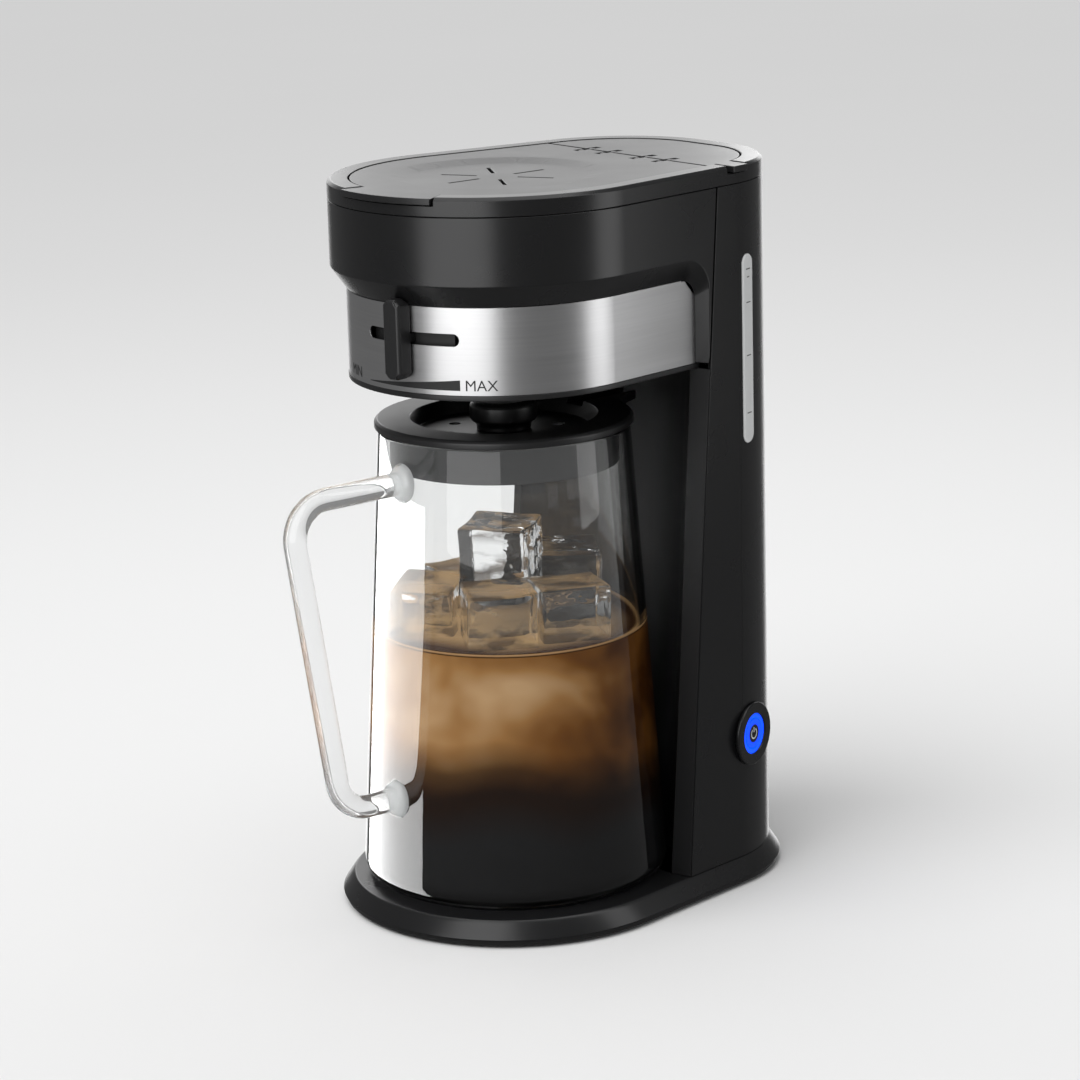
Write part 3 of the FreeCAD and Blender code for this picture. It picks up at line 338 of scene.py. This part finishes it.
def lettering(text, height):
    """Flat mesh of the text in the XY plane, its middle at x = 0 and its foot at y = 0."""
    curve = bpy.data.curves.new(text, "FONT")
    curve.body = text
    curve.align_x = "CENTER"
    curve.resolution_u = 3
    form = bmesh.new()
    form.from_mesh(meshed(curve))
    low = min(v.co.y for v in form.verts)
    high = max(v.co.y for v in form.verts)
    size = height / (high - low)
    bmesh.ops.translate(form, vec=(0, -low, 0), verts=form.verts)
    bmesh.ops.scale(form, vec=(size, size, size), verts=form.verts)
    bmesh.ops.subdivide_edges(form, edges=[e for e in form.edges if e.calc_length() > MM], cuts=3)
    return form


def on_band(form, name, turn):
    """Bends a flat form round the band at that turn from -Y, its foot on the print's lower line."""
    radius = BAND_R + PRINT_T
    for v in form.verts:
        a = turn + v.co.x / BAND_R
        v.co = AXIS + Vector((math.sin(a) * radius, -math.cos(a) * radius, PRINT_LOW + v.co.y))
    return shown(made(form, name), "housing", "matt_black", BLACK_INK)


on_band(lettering("MIN", PRINT_TALL), "scale_min", MIN_TURN)
on_band(lettering("MAX", PRINT_TALL), "scale_max", MAX_TURN)
wedge = bmesh.new()
bmesh.ops.create_grid(wedge, x_segments=WEDGE_STEPS, y_segments=1, size=0.5)
wedge_long = (WEDGE_END - WEDGE_START) * BAND_R
for v in wedge.verts:
    share = v.co.x + 0.5
    tall = WEDGE_TIP + (PRINT_TALL - WEDGE_TIP) * share
    v.co = Vector((share * wedge_long, tall * (0.5 + v.co.y), 0))
on_band(wedge, "scale_wedge", WEDGE_START)


# Water window: a pale strip of milky plastic set in the rear housing's side, where it turns away to
# the back. Level marks are printed on it in grey, one of them short.
def window_plastic():
    sheet = Sheet("pale window", Roughness=0.22)
    cloud = sheet.grain(30, (1, 1, 0.3))
    sheet.set(Base_Color=sheet.blend(cloud, (0.66, 0.67, 0.67, 1), (0.80, 0.81, 0.81, 1)))
    return sheet.material


eased("water_window", "tank_clear", window_plastic(), 0.8 * MM, 3)
GREY_INK = ink("grey ink", (0.12, 0.12, 0.12))
SIDE_TURN = math.radians(18.0)
MARK_HEIGHTS = (291.5 * MM, 287.8 * MM, 276.1 * MM, 251.5 * MM, 224.7 * MM)
SHORT_MARK = 2
SHORT_SHARE = 0.55
MARK_W = 3.6 * MM
MARK_H = 0.5 * MM
MARK_T = 0.1 * MM
outward = Vector((math.cos(SIDE_TURN), math.sin(SIDE_TURN), 0))
sideways = Vector((-math.sin(SIDE_TURN), math.cos(SIDE_TURN), 0))


def middle_and_face(node):
    """The middle of a piece in the tower's side, and how far its face stands out from there."""
    low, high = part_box(node)
    middle = (low + high) / 2
    face = max((Vector(v.co) - middle).dot(outward) for v in frame["nodes"][node].data.vertices)
    return middle, face


pane_middle, pane_face = middle_and_face("water_window")
for number, height in enumerate(MARK_HEIGHTS, start=1):
    mark = bmesh.new()
    bmesh.ops.create_cube(mark, size=1)
    wide = MARK_W * (SHORT_SHARE if number == SHORT_MARK else 1.0)
    for v in mark.verts:
        v.co = (Vector((pane_middle.x, pane_middle.y, height)) + outward * (pane_face + v.co.x * MARK_T)
                + sideways * v.co.y * wide + Vector((0, 0, v.co.z * MARK_H)))
    shown(made(mark, "level_mark_%d" % number), "housing", "matt_black", GREY_INK)


# Power button: a raised gloss bezel, a blue lit ring and a dark cap with the power sign printed on
# it in white.
def lit_blue():
    sheet = Sheet("blue light", Roughness=0.3, Emission_Strength=1.6)
    glow = sheet.blend(sheet.grain(200), (0.0, 0.045, 0.95, 1), (0.0, 0.08, 1.0, 1))
    sheet.set(Base_Color=(0.0, 0.02, 0.5), Emission_Color=glow)
    return sheet.material


eased("button_bezel", "gloss_black", GLOSS, 0.7 * MM, 3)
eased("light_ring", "blue_light", lit_blue(), 0.3 * MM)
cap_middle, cap_face = middle_and_face("power_button")
DARK_R = 4.3 * MM
GLOW_INSIDE = 0.3 * MM
GLOW_OUTSIDE = 0.5 * MM


def lit_cap():
    """Dark cap whose outer part is clear enough for the ring's light."""
    sheet = Sheet("button cap", Roughness=0.22, Emission_Strength=1.6)
    from_axis = sheet.node("VectorMath", {"operation": "SUBTRACT"}, s0=sheet.place, s1=tuple(cap_middle))
    away = sheet.node("VectorMath", {"operation": "CROSS_PRODUCT"}, s0=from_axis, s1=tuple(outward))
    radius = sheet.node("VectorMath", {"operation": "LENGTH"}, out="Value", s0=away)
    share = sheet.node("MapRange", s0=radius, s1=DARK_R - GLOW_INSIDE, s2=DARK_R + GLOW_OUTSIDE)
    sheet.set(Base_Color=sheet.blend(share, (0.008, 0.008, 0.010, 1), (0.0, 0.02, 0.4, 1)),
              Emission_Color=sheet.blend(share, (0, 0, 0, 1), (0.0, 0.05, 1.0, 1)))
    return sheet.material


eased("power_button", "button_dark", lit_cap(), 0.4 * MM)
WHITE_INK = ink("white ink", (0.75, 0.77, 0.80))
SIGN_R = 2.4 * MM
SIGN_W = 0.7 * MM
SIGN_T = 0.03 * MM
SIGN_GAP = math.radians(70)
SIGN_STEPS = 24
STROKE_MIDDLE = SIGN_R * 0.75


def on_cap(form, name):
    """Puts a form drawn in the XY plane on the button's face, with Y upwards."""
    for v in form.verts:
        v.co = (cap_middle + outward * (cap_face + SIGN_T + v.co.z) + sideways * v.co.x
                + Vector((0, 0, v.co.y)))
    return shown(made(form, name), "power_button", "button_dark", WHITE_INK)


ring = bmesh.new()
start = Matrix.Rotation(SIGN_GAP / 2, 3, "Z") @ Vector((0, 1, 0))
ends = [ring.verts.new(start * (SIGN_R - SIGN_W / 2)), ring.verts.new(start * (SIGN_R + SIGN_W / 2))]
edge = ring.edges.new(ends)
bmesh.ops.spin(ring, geom=ends + [edge], axis=(0, 0, 1), cent=(0, 0, 0), steps=SIGN_STEPS,
               angle=2 * math.pi - SIGN_GAP)
bmesh.ops.recalc_face_normals(ring, faces=ring.faces)
on_cap(ring, "power_sign_ring")
stroke = bmesh.new()
bmesh.ops.create_grid(stroke, x_segments=1, y_segments=1, size=0.5)
bmesh.ops.scale(stroke, vec=(SIGN_W, SIGN_R, 1), verts=stroke.verts)
bmesh.ops.translate(stroke, vec=(0, STROKE_MIDDLE, 0), verts=stroke.verts)
on_cap(stroke, "power_sign_stroke")

# Pitcher: clear borosilicate glass, blown as a tall cone with a thick floor, hollow below, and an
# open rim. Light passes through it for shadows, as it does through real thin glass.
GLASS_TOP_R = 57.8 * MM
GLASS_T = 3.0 * MM
FLOOR_T = 5.0 * MM
FOOT_ROUND = 9.0 * MM
FLOOR_ROUND = FOOT_ROUND * 0.8
FOOT_HOLLOW = 1.2 * MM
HOLLOW_SHARE = 0.72
HOLLOW_ROUND = 2.0 * MM
STAND_SHARE = 0.80
STAND_ROUND = 3.0 * MM
RIM_ROUND = 1.4 * MM
ROUND_STEPS = 7
TURN_STEPS = 144
GLASS_INDEX = 1.47


def clear_glass(name, tint, index, clearness=1.0):
    sheet = Sheet(name, Roughness=0.0, IOR=index, Transmission_Weight=clearness)
    sheet.set(Base_Color=sheet.blend(sheet.grain(5), (*tint, 1), (*[c * 0.99 for c in tint], 1)))
    shadow = sheet.node("LightPath", out="Is Shadow Ray")
    through = sheet.node("BsdfTransparent", Color=(*tint, 1))
    mixed = sheet.node("MixShader", s0=shadow, s1=Wire(sheet, sheet.shader.outputs[0]), s2=through)
    sheet.tree.links.new(mixed.socket, sheet.tree.nodes["Material Output"].inputs["Surface"])
    return sheet


GLASS = clear_glass("clear glass", (0.985, 0.992, 0.990), GLASS_INDEX).material
glass_low, glass_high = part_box("pitcher_glass")
GLASS_LOW_R = (glass_high.x - glass_low.x) / 2
slope = (GLASS_LOW_R - GLASS_TOP_R) / (glass_high.z - glass_low.z - FOOT_ROUND)


def wall_radius(z):
    """Outer radius of the pitcher's wall at that height."""
    return GLASS_LOW_R - slope * (z - glass_low.z - FOOT_ROUND)


def rounded(corners):
    """Profile through corners given as radius, height and rounding."""
    out = []
    for i, (r, z, ease) in enumerate(corners):
        here = Vector((r, z))
        if ease <= 0:
            out.append(here)
            continue
        before = (Vector(corners[i - 1][:2]) - here).normalized()
        after = (Vector(corners[i + 1][:2]) - here).normalized()
        for k in range(ROUND_STEPS + 1):
            t = k / ROUND_STEPS
            out.append(here + before * ease * (1 - t) ** 2 + after * ease * t ** 2)
    return out


def lathe(name, corners):
    """Turns a profile, open on the pitcher's axis, about that axis."""
    form = bmesh.new()
    outline = [form.verts.new(AXIS + Vector((p.x, 0, p.y))) for p in rounded(corners)]
    edges = [form.edges.new(pair) for pair in zip(outline, outline[1:])]
    bmesh.ops.spin(form, geom=outline + edges, axis=(0, 0, 1), cent=AXIS, steps=TURN_STEPS,
                   angle=2 * math.pi, use_merge=True)
    bmesh.ops.remove_doubles(form, verts=form.verts, dist=0.01 * MM)
    bmesh.ops.recalc_face_normals(form, faces=form.faces)
    return made(form, name, smooth=True)


floor_top = glass_low.z + FLOOR_T
floor_r = wall_radius(floor_top) - GLASS_T
rim_z = glass_high.z
cup = lathe("pitcher_cup", [
    (0, glass_low.z + FOOT_HOLLOW, 0), (GLASS_LOW_R * HOLLOW_SHARE, glass_low.z + FOOT_HOLLOW, HOLLOW_ROUND),
    (GLASS_LOW_R * STAND_SHARE, glass_low.z, STAND_ROUND),
    (GLASS_LOW_R + slope * FOOT_ROUND, glass_low.z, FOOT_ROUND),
    (GLASS_TOP_R, rim_z, RIM_ROUND), (GLASS_TOP_R - GLASS_T, rim_z, RIM_ROUND),
    (floor_r, floor_top, FLOOR_ROUND), (0, floor_top, 0)])
shown(cup, "pitcher", "glass", GLASS, "pitcher_glass")

# Handle: a solid glass rod bent twice and melted on at both ends over a round pad of glass, which
# the flame leaves a little cloudy.
ROD_GLASS = clear_glass("drawn glass", (0.985, 0.990, 0.990), GLASS_INDEX, 0.92).material
PAD_GLASS = clear_glass("melted glass", (0.93, 0.94, 0.94), GLASS_INDEX, 0.65).material
ROD_R = 5.3 * MM
ROD_BEND = 17.0 * MM
BEND_STEPS = 12
HIGH_Z = 206.4 * MM
LOW_Z = 60.0 * MM
HIGH_OUT = 121.0 * MM
LOW_OUT = 99.0 * MM
PAD_R = 9.0 * MM
PAD_END_R = PAD_R * 0.74
PAD_T = 3.4 * MM
PAD_ROUND = 1.4 * MM
MELT = 0.3 * MM


def rod(name, points, bend, radius):
    """Round rod through the points, bent at an equal radius, closed at both ends."""
    route = [points[0]]
    for before, here, after in zip(points, points[1:], points[2:]):
        one = (before - here).normalized()
        two = (after - here).normalized()
        reach = bend / math.tan(one.angle(two) / 2)
        middle = here + (one + two).normalized() * bend / math.sin(one.angle(two) / 2)
        first = here + one * reach - middle
        last = here + two * reach - middle
        for k in range(BEND_STEPS + 1):
            route.append(middle + first.slerp(last, k / BEND_STEPS).normalized() * bend)
    route.append(points[-1])
    curve = bpy.data.curves.new(name, "CURVE")
    curve.dimensions = "3D"
    curve.bevel_depth = radius
    curve.bevel_resolution = 10
    curve.use_fill_caps = True
    spline = curve.splines.new("POLY")
    spline.points.add(len(route) - 1)
    for point, place in zip(spline.points, route):
        point.co = (*place, 1)
    mesh = meshed(curve)
    for face in mesh.polygons:
        face.use_smooth = True
    return bpy.data.objects.new(name, mesh)


handle = rod("pitcher_handle", [
    AXIS + Vector((0, -wall_radius(HIGH_Z) - MELT, HIGH_Z)), AXIS + Vector((0, -HIGH_OUT, HIGH_Z)),
    AXIS + Vector((0, -LOW_OUT, LOW_Z)), AXIS + Vector((0, -wall_radius(LOW_Z) - MELT, LOW_Z))],
    ROD_BEND, ROD_R)
shown(handle, "pitcher", "glass", ROD_GLASS)
tilt = math.atan(slope)
for name, z in (("handle_pad_high", HIGH_Z), ("handle_pad_low", LOW_Z)):
    pad = bmesh.new()
    bmesh.ops.create_cone(pad, cap_ends=True, segments=48, radius1=PAD_R, radius2=PAD_END_R, depth=PAD_T)
    caps = [e for e in pad.edges if all(v.co.z > 0 for v in e.verts)]
    bmesh.ops.bevel(pad, geom=caps, offset=PAD_ROUND, segments=4, affect="EDGES", profile=0.5, material=-1)
    turn = Matrix.Translation(AXIS + Vector((0, -wall_radius(z) - PAD_T / 2 + MELT, z)))
    turn = turn @ Matrix.Rotation(math.pi / 2 - tilt, 4, "X")
    bmesh.ops.transform(pad, matrix=turn, verts=pad.verts)
    shown(made(pad, name, smooth=True), "pitcher", "glass", PAD_GLASS)

# Pitcher lid: a black moulded lid that drops into the glass with a deep collar, a round well round
# the knob that catches the drips, and a pouring lip at the back.
eased("pitcher_lid", "matt_black", SATIN, 0.35 * MM)
eased("lid_knob", "gloss_black", SATIN, 1.0 * MM, 4)

# Drink: milk clouds in coffee. It fills the glass to just below the ice, pale and swirling above,
# nearly black lower down, and creeps a little up the wall, where a pale band is painted on as a highlight
# along the rim.
DRINK_TOP = 131.0 * MM
CREEP = 1.3 * MM
SINK = 0.4 * MM
EDGE_T = 0.6 * MM
EDGE_W = 2.6 * MM
CALM_T = 0.3 * MM
RIM_HIGHLIGHT_LOW = 0.2 * MM
RIM_HIGHLIGHT_HIGH = 0.7 * MM
MILK_R = 61 * MM
COFFEE_R = 76 * MM
SWELL = 0.050
MILK_STOPS = ((0.34, (0.050, 0.016, 0.003)), (0.46, (0.145, 0.058, 0.012)),
              (0.57, (0.27, 0.140, 0.048)), (0.70, (0.42, 0.275, 0.145)))
CLOUD_STOPS = ((0.45, (0, 0, 0)), (0.53, (0.22, 0.22, 0.22)), (0.62, (1, 1, 1)))
BROWN_STOPS = ((0.30, (0, 0, 0)), (0.42, (1, 1, 1)))


def iced_coffee():
    sheet = Sheet("iced coffee", Roughness=0.25, Specular_IOR_Level=0.0)
    warp = sheet.node("TexNoise", out="Color", Vector=sheet.place, Scale=9.0, Detail=1.0)
    pushed = sheet.node("VectorMath", {"operation": "MULTIPLY_ADD"}, s0=warp, s1=(0.09, 0.09, 0.07),
                        s2=sheet.place)
    laid = sheet.node("Mapping", Vector=pushed, Scale=(1.0, 1.0, 1.35))
    cloud = sheet.node("TexNoise", Vector=laid, Scale=13.0, Detail=3.0, Roughness=0.5)
    milk = sheet.node("ValToRGB", {"stops": MILK_STOPS}, Fac=cloud)
    swell = sheet.grain(11, (1, 1, 1.2), 1.0, (0.3, 0, 0))
    height = sheet.node("SeparateXYZ", out="Z", Vector=sheet.place)
    level = (height + swell * SWELL - SWELL / 2) * (1 / DRINK_TOP)
    brown = sheet.node("ValToRGB", {"stops": BROWN_STOPS}, Fac=level)
    deep = sheet.blend(brown, (0.013, 0.013, 0.0135, 1), (0.012, 0.0055, 0.003, 1))
    body = sheet.blend(sheet.node("ValToRGB", {"stops": CLOUD_STOPS}, Fac=level), deep, milk)
    from_middle = sheet.node("VectorMath", {"operation": "SUBTRACT"}, s0=sheet.place,
                             s1=(AXIS.x, AXIS.y, DRINK_TOP))
    radius = sheet.node("VectorMath", {"operation": "LENGTH"}, out="Value", s0=from_middle)
    clear = sheet.node("MapRange", s0=radius + swell * 0.04, s1=MILK_R, s2=COFFEE_R)
    surface = sheet.blend(clear, (0.36, 0.225, 0.105, 1), (0.035, 0.013, 0.004, 1))
    top = sheet.node("MapRange", s0=height, s1=DRINK_TOP - CALM_T, s2=DRINK_TOP - CALM_T / 3)
    # Painted highlight: a pale band just above the drink's top, where it creeps up the wall.
    rim_highlight = sheet.node("MapRange", s0=height, s1=DRINK_TOP + RIM_HIGHLIGHT_LOW, s2=DRINK_TOP + RIM_HIGHLIGHT_HIGH)
    sheet.set(Base_Color=sheet.blend(rim_highlight, sheet.blend(top, body, surface), (0.32, 0.19, 0.085, 1)))
    return sheet.material


drink_r = wall_radius(DRINK_TOP) - GLASS_T
drink = lathe("drink", [
    (0, floor_top - SINK, 0), (floor_r + SINK, floor_top - SINK, FLOOR_ROUND),
    (drink_r + SINK, DRINK_TOP + CREEP, 0), (drink_r - EDGE_T, DRINK_TOP + CREEP * 0.7, 0.5 * MM),
    (drink_r - EDGE_W, DRINK_TOP, 1.6 * MM), (0, DRINK_TOP, 0)])
shown(drink, "pitcher", "glass", iced_coffee())

# Ice: clear cubes out of a tray, half melted, so their sides dish in and their edges are round. They
# stand in the drink, one on top of the others, with painted shade in patchy brown bands on their tops and
# feet.
SHADE_BANDS_Z = 155.0 * MM
SHADE_BANDS_APART = 23.0 * MM
SHADE_BANDS_T = 7.0 * MM
ICE_EDGE = 0.055
ICE_DISH = 0.05
ICE_WOBBLE = 0.05
WOBBLE_SCALE = 2.3
WOBBLE_STEP = 7.3
ICE_LEAN = math.radians(4)
LEAN_STEP = 2.1


def clear_ice():
    sheet = clear_glass("clear ice", (0.97, 0.98, 0.985), 1.42)
    height = sheet.node("SeparateXYZ", out="Z", Vector=sheet.place)
    # Painted shade: brown bands across the ice at set heights, broken into patches, darken the cubes' tops
    # and feet.
    off = sheet.node("Math", {"operation": "PINGPONG"}, s0=height - SHADE_BANDS_Z, s1=SHADE_BANDS_APART / 2)
    shade_band = sheet.node("MapRange", s0=off, s1=SHADE_BANDS_T, s2=SHADE_BANDS_T * 0.4)
    shade_patches = sheet.node("MapRange", s0=sheet.grain(60, (1, 1, 2.6), 3.0, (0.2, 0.1, 0)), s1=0.44, s2=0.58)
    sheet.set(Base_Color=sheet.blend(shade_patches * shade_band, (0.97, 0.98, 0.985, 1), (0.10, 0.085, 0.075, 1)))
    sheet.bump(sheet.grain(55, (1, 1, 1.6), 2.5), 0.8, 1.6 * MM)
    return sheet.material


ICE = clear_ice()
# Each cube: place to the right of the axis as seen, place towards the camera, height of its foot and
# side, all in millimetres, and its turn in degrees.
ICE_CUBES = ((-5, 34, 124, 32, 8), (-37, 10, 124, 29, -14), (27, 24, 124, 31, 12), (-3, 4, 146, 32, -18),
             (29, -15, 132, 29, 4), (-24, -28, 124, 25, 30))
for number, (x, y, foot, side, turn) in enumerate(ICE_CUBES):
    cube = bmesh.new()
    bmesh.ops.create_cube(cube, size=1)
    bmesh.ops.bevel(cube, geom=cube.edges[:], offset=ICE_EDGE, segments=2, affect="EDGES", profile=0.6,
                    material=-1)
    bmesh.ops.subdivide_edges(cube, edges=cube.edges[:], cuts=2, use_grid_fill=True)
    # This noise isn't seeded. It starts from the clock, so the cubes differ by 1 to 2 mm between runs.
    for v in cube.verts:
        flat = max(abs(c) for c in v.co)
        dish = ICE_DISH * (1 - min(1, sum(c * c for c in v.co) - flat * flat) * 4)
        wobble = noise.noise_vector(v.co * WOBBLE_SCALE + Vector((number * WOBBLE_STEP, 0, 0))) * ICE_WOBBLE
        v.co = v.co * (1 - max(0, dish)) + wobble
    bmesh.ops.scale(cube, vec=(side * MM,) * 3, verts=cube.verts)
    where = AXIS + across * x * MM + toward * y * MM + Vector((0, 0, (foot + side / 2) * MM))
    lean = Matrix.Rotation(ICE_LEAN * math.sin(number * LEAN_STEP), 4, "X")
    spot = Matrix.Translation(where) @ Matrix.Rotation(VIEW_TURN + math.radians(turn), 4, "Z") @ lean
    bmesh.ops.transform(cube, matrix=spot, verts=cube.verts)
    block = made(cube, "ice_cube_%d" % (number + 1), smooth=True)
    melted = block.modifiers.new("melted", "SUBSURF")
    melted.levels = 1
    melted.render_levels = 1
    shown(block, "pitcher", "glass", ICE)

# Inside: matt black mouldings for the basket, its well, the valve and the shelf, a nylon mesh filter,
# a clear moulded tank, steel spring, pins and screws, a cast heater, and rubber for the hose and the
# check valve. Most of it shows only when a lid is open.
MATT = moulded("matt black plastic", (0.016, 0.016, 0.0165), 0.50, 0.62, 0.4 * MM, 0.40)
MESH = moulded("nylon mesh", (0.22, 0.20, 0.15), 0.5, 0.6, 0.9 * MM, 1.0)
METAL = Sheet("drawn steel", Metallic=1.0, Roughness=0.3)
METAL.set(Base_Color=METAL.blend(METAL.grain(400, (1, 1, 0.1)), (0.45, 0.45, 0.46, 1), (0.6, 0.6, 0.61, 1)))
CAST = Sheet("cast aluminium", Metallic=1.0)
CAST.set(Base_Color=CAST.blend(CAST.grain(300), (0.42, 0.42, 0.43, 1), (0.55, 0.55, 0.56, 1)),
         Roughness=CAST.grain(90) * 0.2 + 0.4)
CLEAR = Sheet("clear tank", Roughness=0.12, IOR=1.45, Transmission_Weight=0.85)
CLEAR.set(Base_Color=CLEAR.blend(CLEAR.grain(20), (0.80, 0.82, 0.83, 1), (0.88, 0.9, 0.9, 1)))
for node in ("basket_well", "brew_basket", "drip_valve", "valve_guide", "tank_shelf", "bypass_shutter",
             "cord_inlet", "power_switch"):
    paint(node, MATT)
paint("basket_filter", MESH)
paint("water_tank", CLEAR.material)
for node in ("valve_spring", "front_lid_pin", "tank_lid_pin", "base_screws"):
    paint(node, METAL.material)
for node in ("heater_tube", "heater_clamp", "thermostat"):
    paint(node, CAST.material)
for node in ("tank_outlet", "check_valve", "cold_hose"):
    paint(node, RUBBER)

# Studio: a plain pale floor under a wide soft light. Tall soft cards stand round the object for the
# gloss to mirror. They light nothing else, and the room is darker in the gloss than on the floor.
FLOOR_R = 14
ROOM_LIGHT = 0.30
MIRRORED_LIGHT = 0.17


def pale_floor():
    sheet = Sheet("pale floor", Roughness=0.7, Specular_IOR_Level=0.0)
    sheet.set(Base_Color=sheet.blend(sheet.grain(1.5), (0.80, 0.80, 0.80, 1), (0.82, 0.82, 0.82, 1)))
    return sheet.material


ground = bmesh.new()
bmesh.ops.create_circle(ground, cap_ends=True, segments=64, radius=FLOOR_R)
floor = made(ground, "floor")
floor.data.materials.append(pale_floor())
bpy.context.scene.collection.objects.link(floor)
floor.visible_glossy = False

world = bpy.data.worlds.new("studio")
world.use_nodes = True
room = world.node_tree
sky = room.nodes["Background"]
sky.inputs["Color"].default_value = (1, 1, 1, 1)
ray = room.nodes.new("ShaderNodeLightPath")
dim = room.nodes.new("ShaderNodeMapRange")
dim.inputs["To Min"].default_value = ROOM_LIGHT
dim.inputs["To Max"].default_value = MIRRORED_LIGHT
room.links.new(ray.outputs["Is Glossy Ray"], dim.inputs["Value"])
room.links.new(dim.outputs["Result"], sky.inputs["Strength"])
bpy.context.scene.world = world


def soft_light(name, place, aim, width, height, brightness, card=True):
    """Soft rectangular light. A card shows in gloss and does not light matt surfaces."""
    lamp = bpy.data.lights.new(name, "AREA")
    lamp.shape = "RECTANGLE"
    lamp.size = width
    lamp.size_y = height
    lamp.energy = math.pi * width * height * brightness
    light = bpy.data.objects.new(name, lamp)
    bpy.context.scene.collection.objects.link(light)
    turn = (aim - place).to_track_quat("-Z", "Y")
    light.matrix_world = Matrix.Translation(place) @ turn.to_matrix().to_4x4()
    light.visible_camera = False
    light.visible_transmission = not card
    light.visible_diffuse = not card
    return light


def card(name, first, last, distance, low, high, brightness):
    """Upright card between two turns from the camera's direction, positive to its right."""
    turn = math.radians((first + last) / 2)
    width = 2 * distance * math.tan(math.radians(last - first) / 2)
    aim = AXIS + Vector((0, 0, (low + high) / 2))
    place = aim + (toward * math.cos(turn) + across * math.sin(turn)) * distance
    return soft_light(name, place, aim, width, high - low, brightness)


card("key card", -50, -4, 0.5, 0.13, 1.1, 2.1)
card("right card", 62.5, 82.5, 0.4, 0.15, 1.1, 1.8)
card("left rim card", -173, -158, 1.0, -0.6, 1.4, 1.3)
card("right rim card", 150, 170, 1.0, -0.6, 1.4, 2.0)
card("back card", 150, 210, 1.2, 0.42, 1.3, 1.1)

# Pitcher panel: a bright white screen at the left, which makes the wide strip down the pitcher's
# side. Only the glass mirrors it.
PANEL_SIDE = -0.30
PANEL_FRONT = 0.119
PANEL_BACK = -0.45
PANEL_TOP = 0.172
PANEL_LOW = -0.20
PANEL_BRIGHT = 8.0
panel_place = (AXIS + across * PANEL_SIDE + toward * (PANEL_FRONT + PANEL_BACK) / 2
               + Vector((0, 0, (PANEL_TOP + PANEL_LOW) / 2)))
panel = soft_light("pitcher panel", panel_place, panel_place + across, PANEL_FRONT - PANEL_BACK,
                   PANEL_TOP - PANEL_LOW, PANEL_BRIGHT)
glassware = bpy.data.collections.new("glassware")
glassware.objects.link(cup)
panel.light_linking.receiver_collection = glassware

# Daylight: a wide soft light overhead and a very soft sun from the upper left front, for the floor,
# the drink and the shadow.
OVERHEAD_SIDE = 1.4
OVERHEAD_BRIGHT = 1.6
SUN_ENERGY = 1.9
SUN_SPREAD = math.radians(50)
overhead = AXIS + Vector((0, 0, 1.5)) - toward * 0.2
soft_light("overhead", overhead, AXIS, OVERHEAD_SIDE, OVERHEAD_SIDE, OVERHEAD_BRIGHT, card=False)
daylight = bpy.data.lights.new("daylight", "SUN")
daylight.energy = SUN_ENERGY
daylight.angle = SUN_SPREAD
sun = bpy.data.objects.new("daylight", daylight)
bpy.context.scene.collection.objects.link(sun)
sunbeam = -toward * 0.5 + across * 0.55 - Vector((0, 0, 1))
sun.rotation_euler = sunbeam.to_track_quat("-Z", "Y").to_euler()
sun.visible_glossy = False
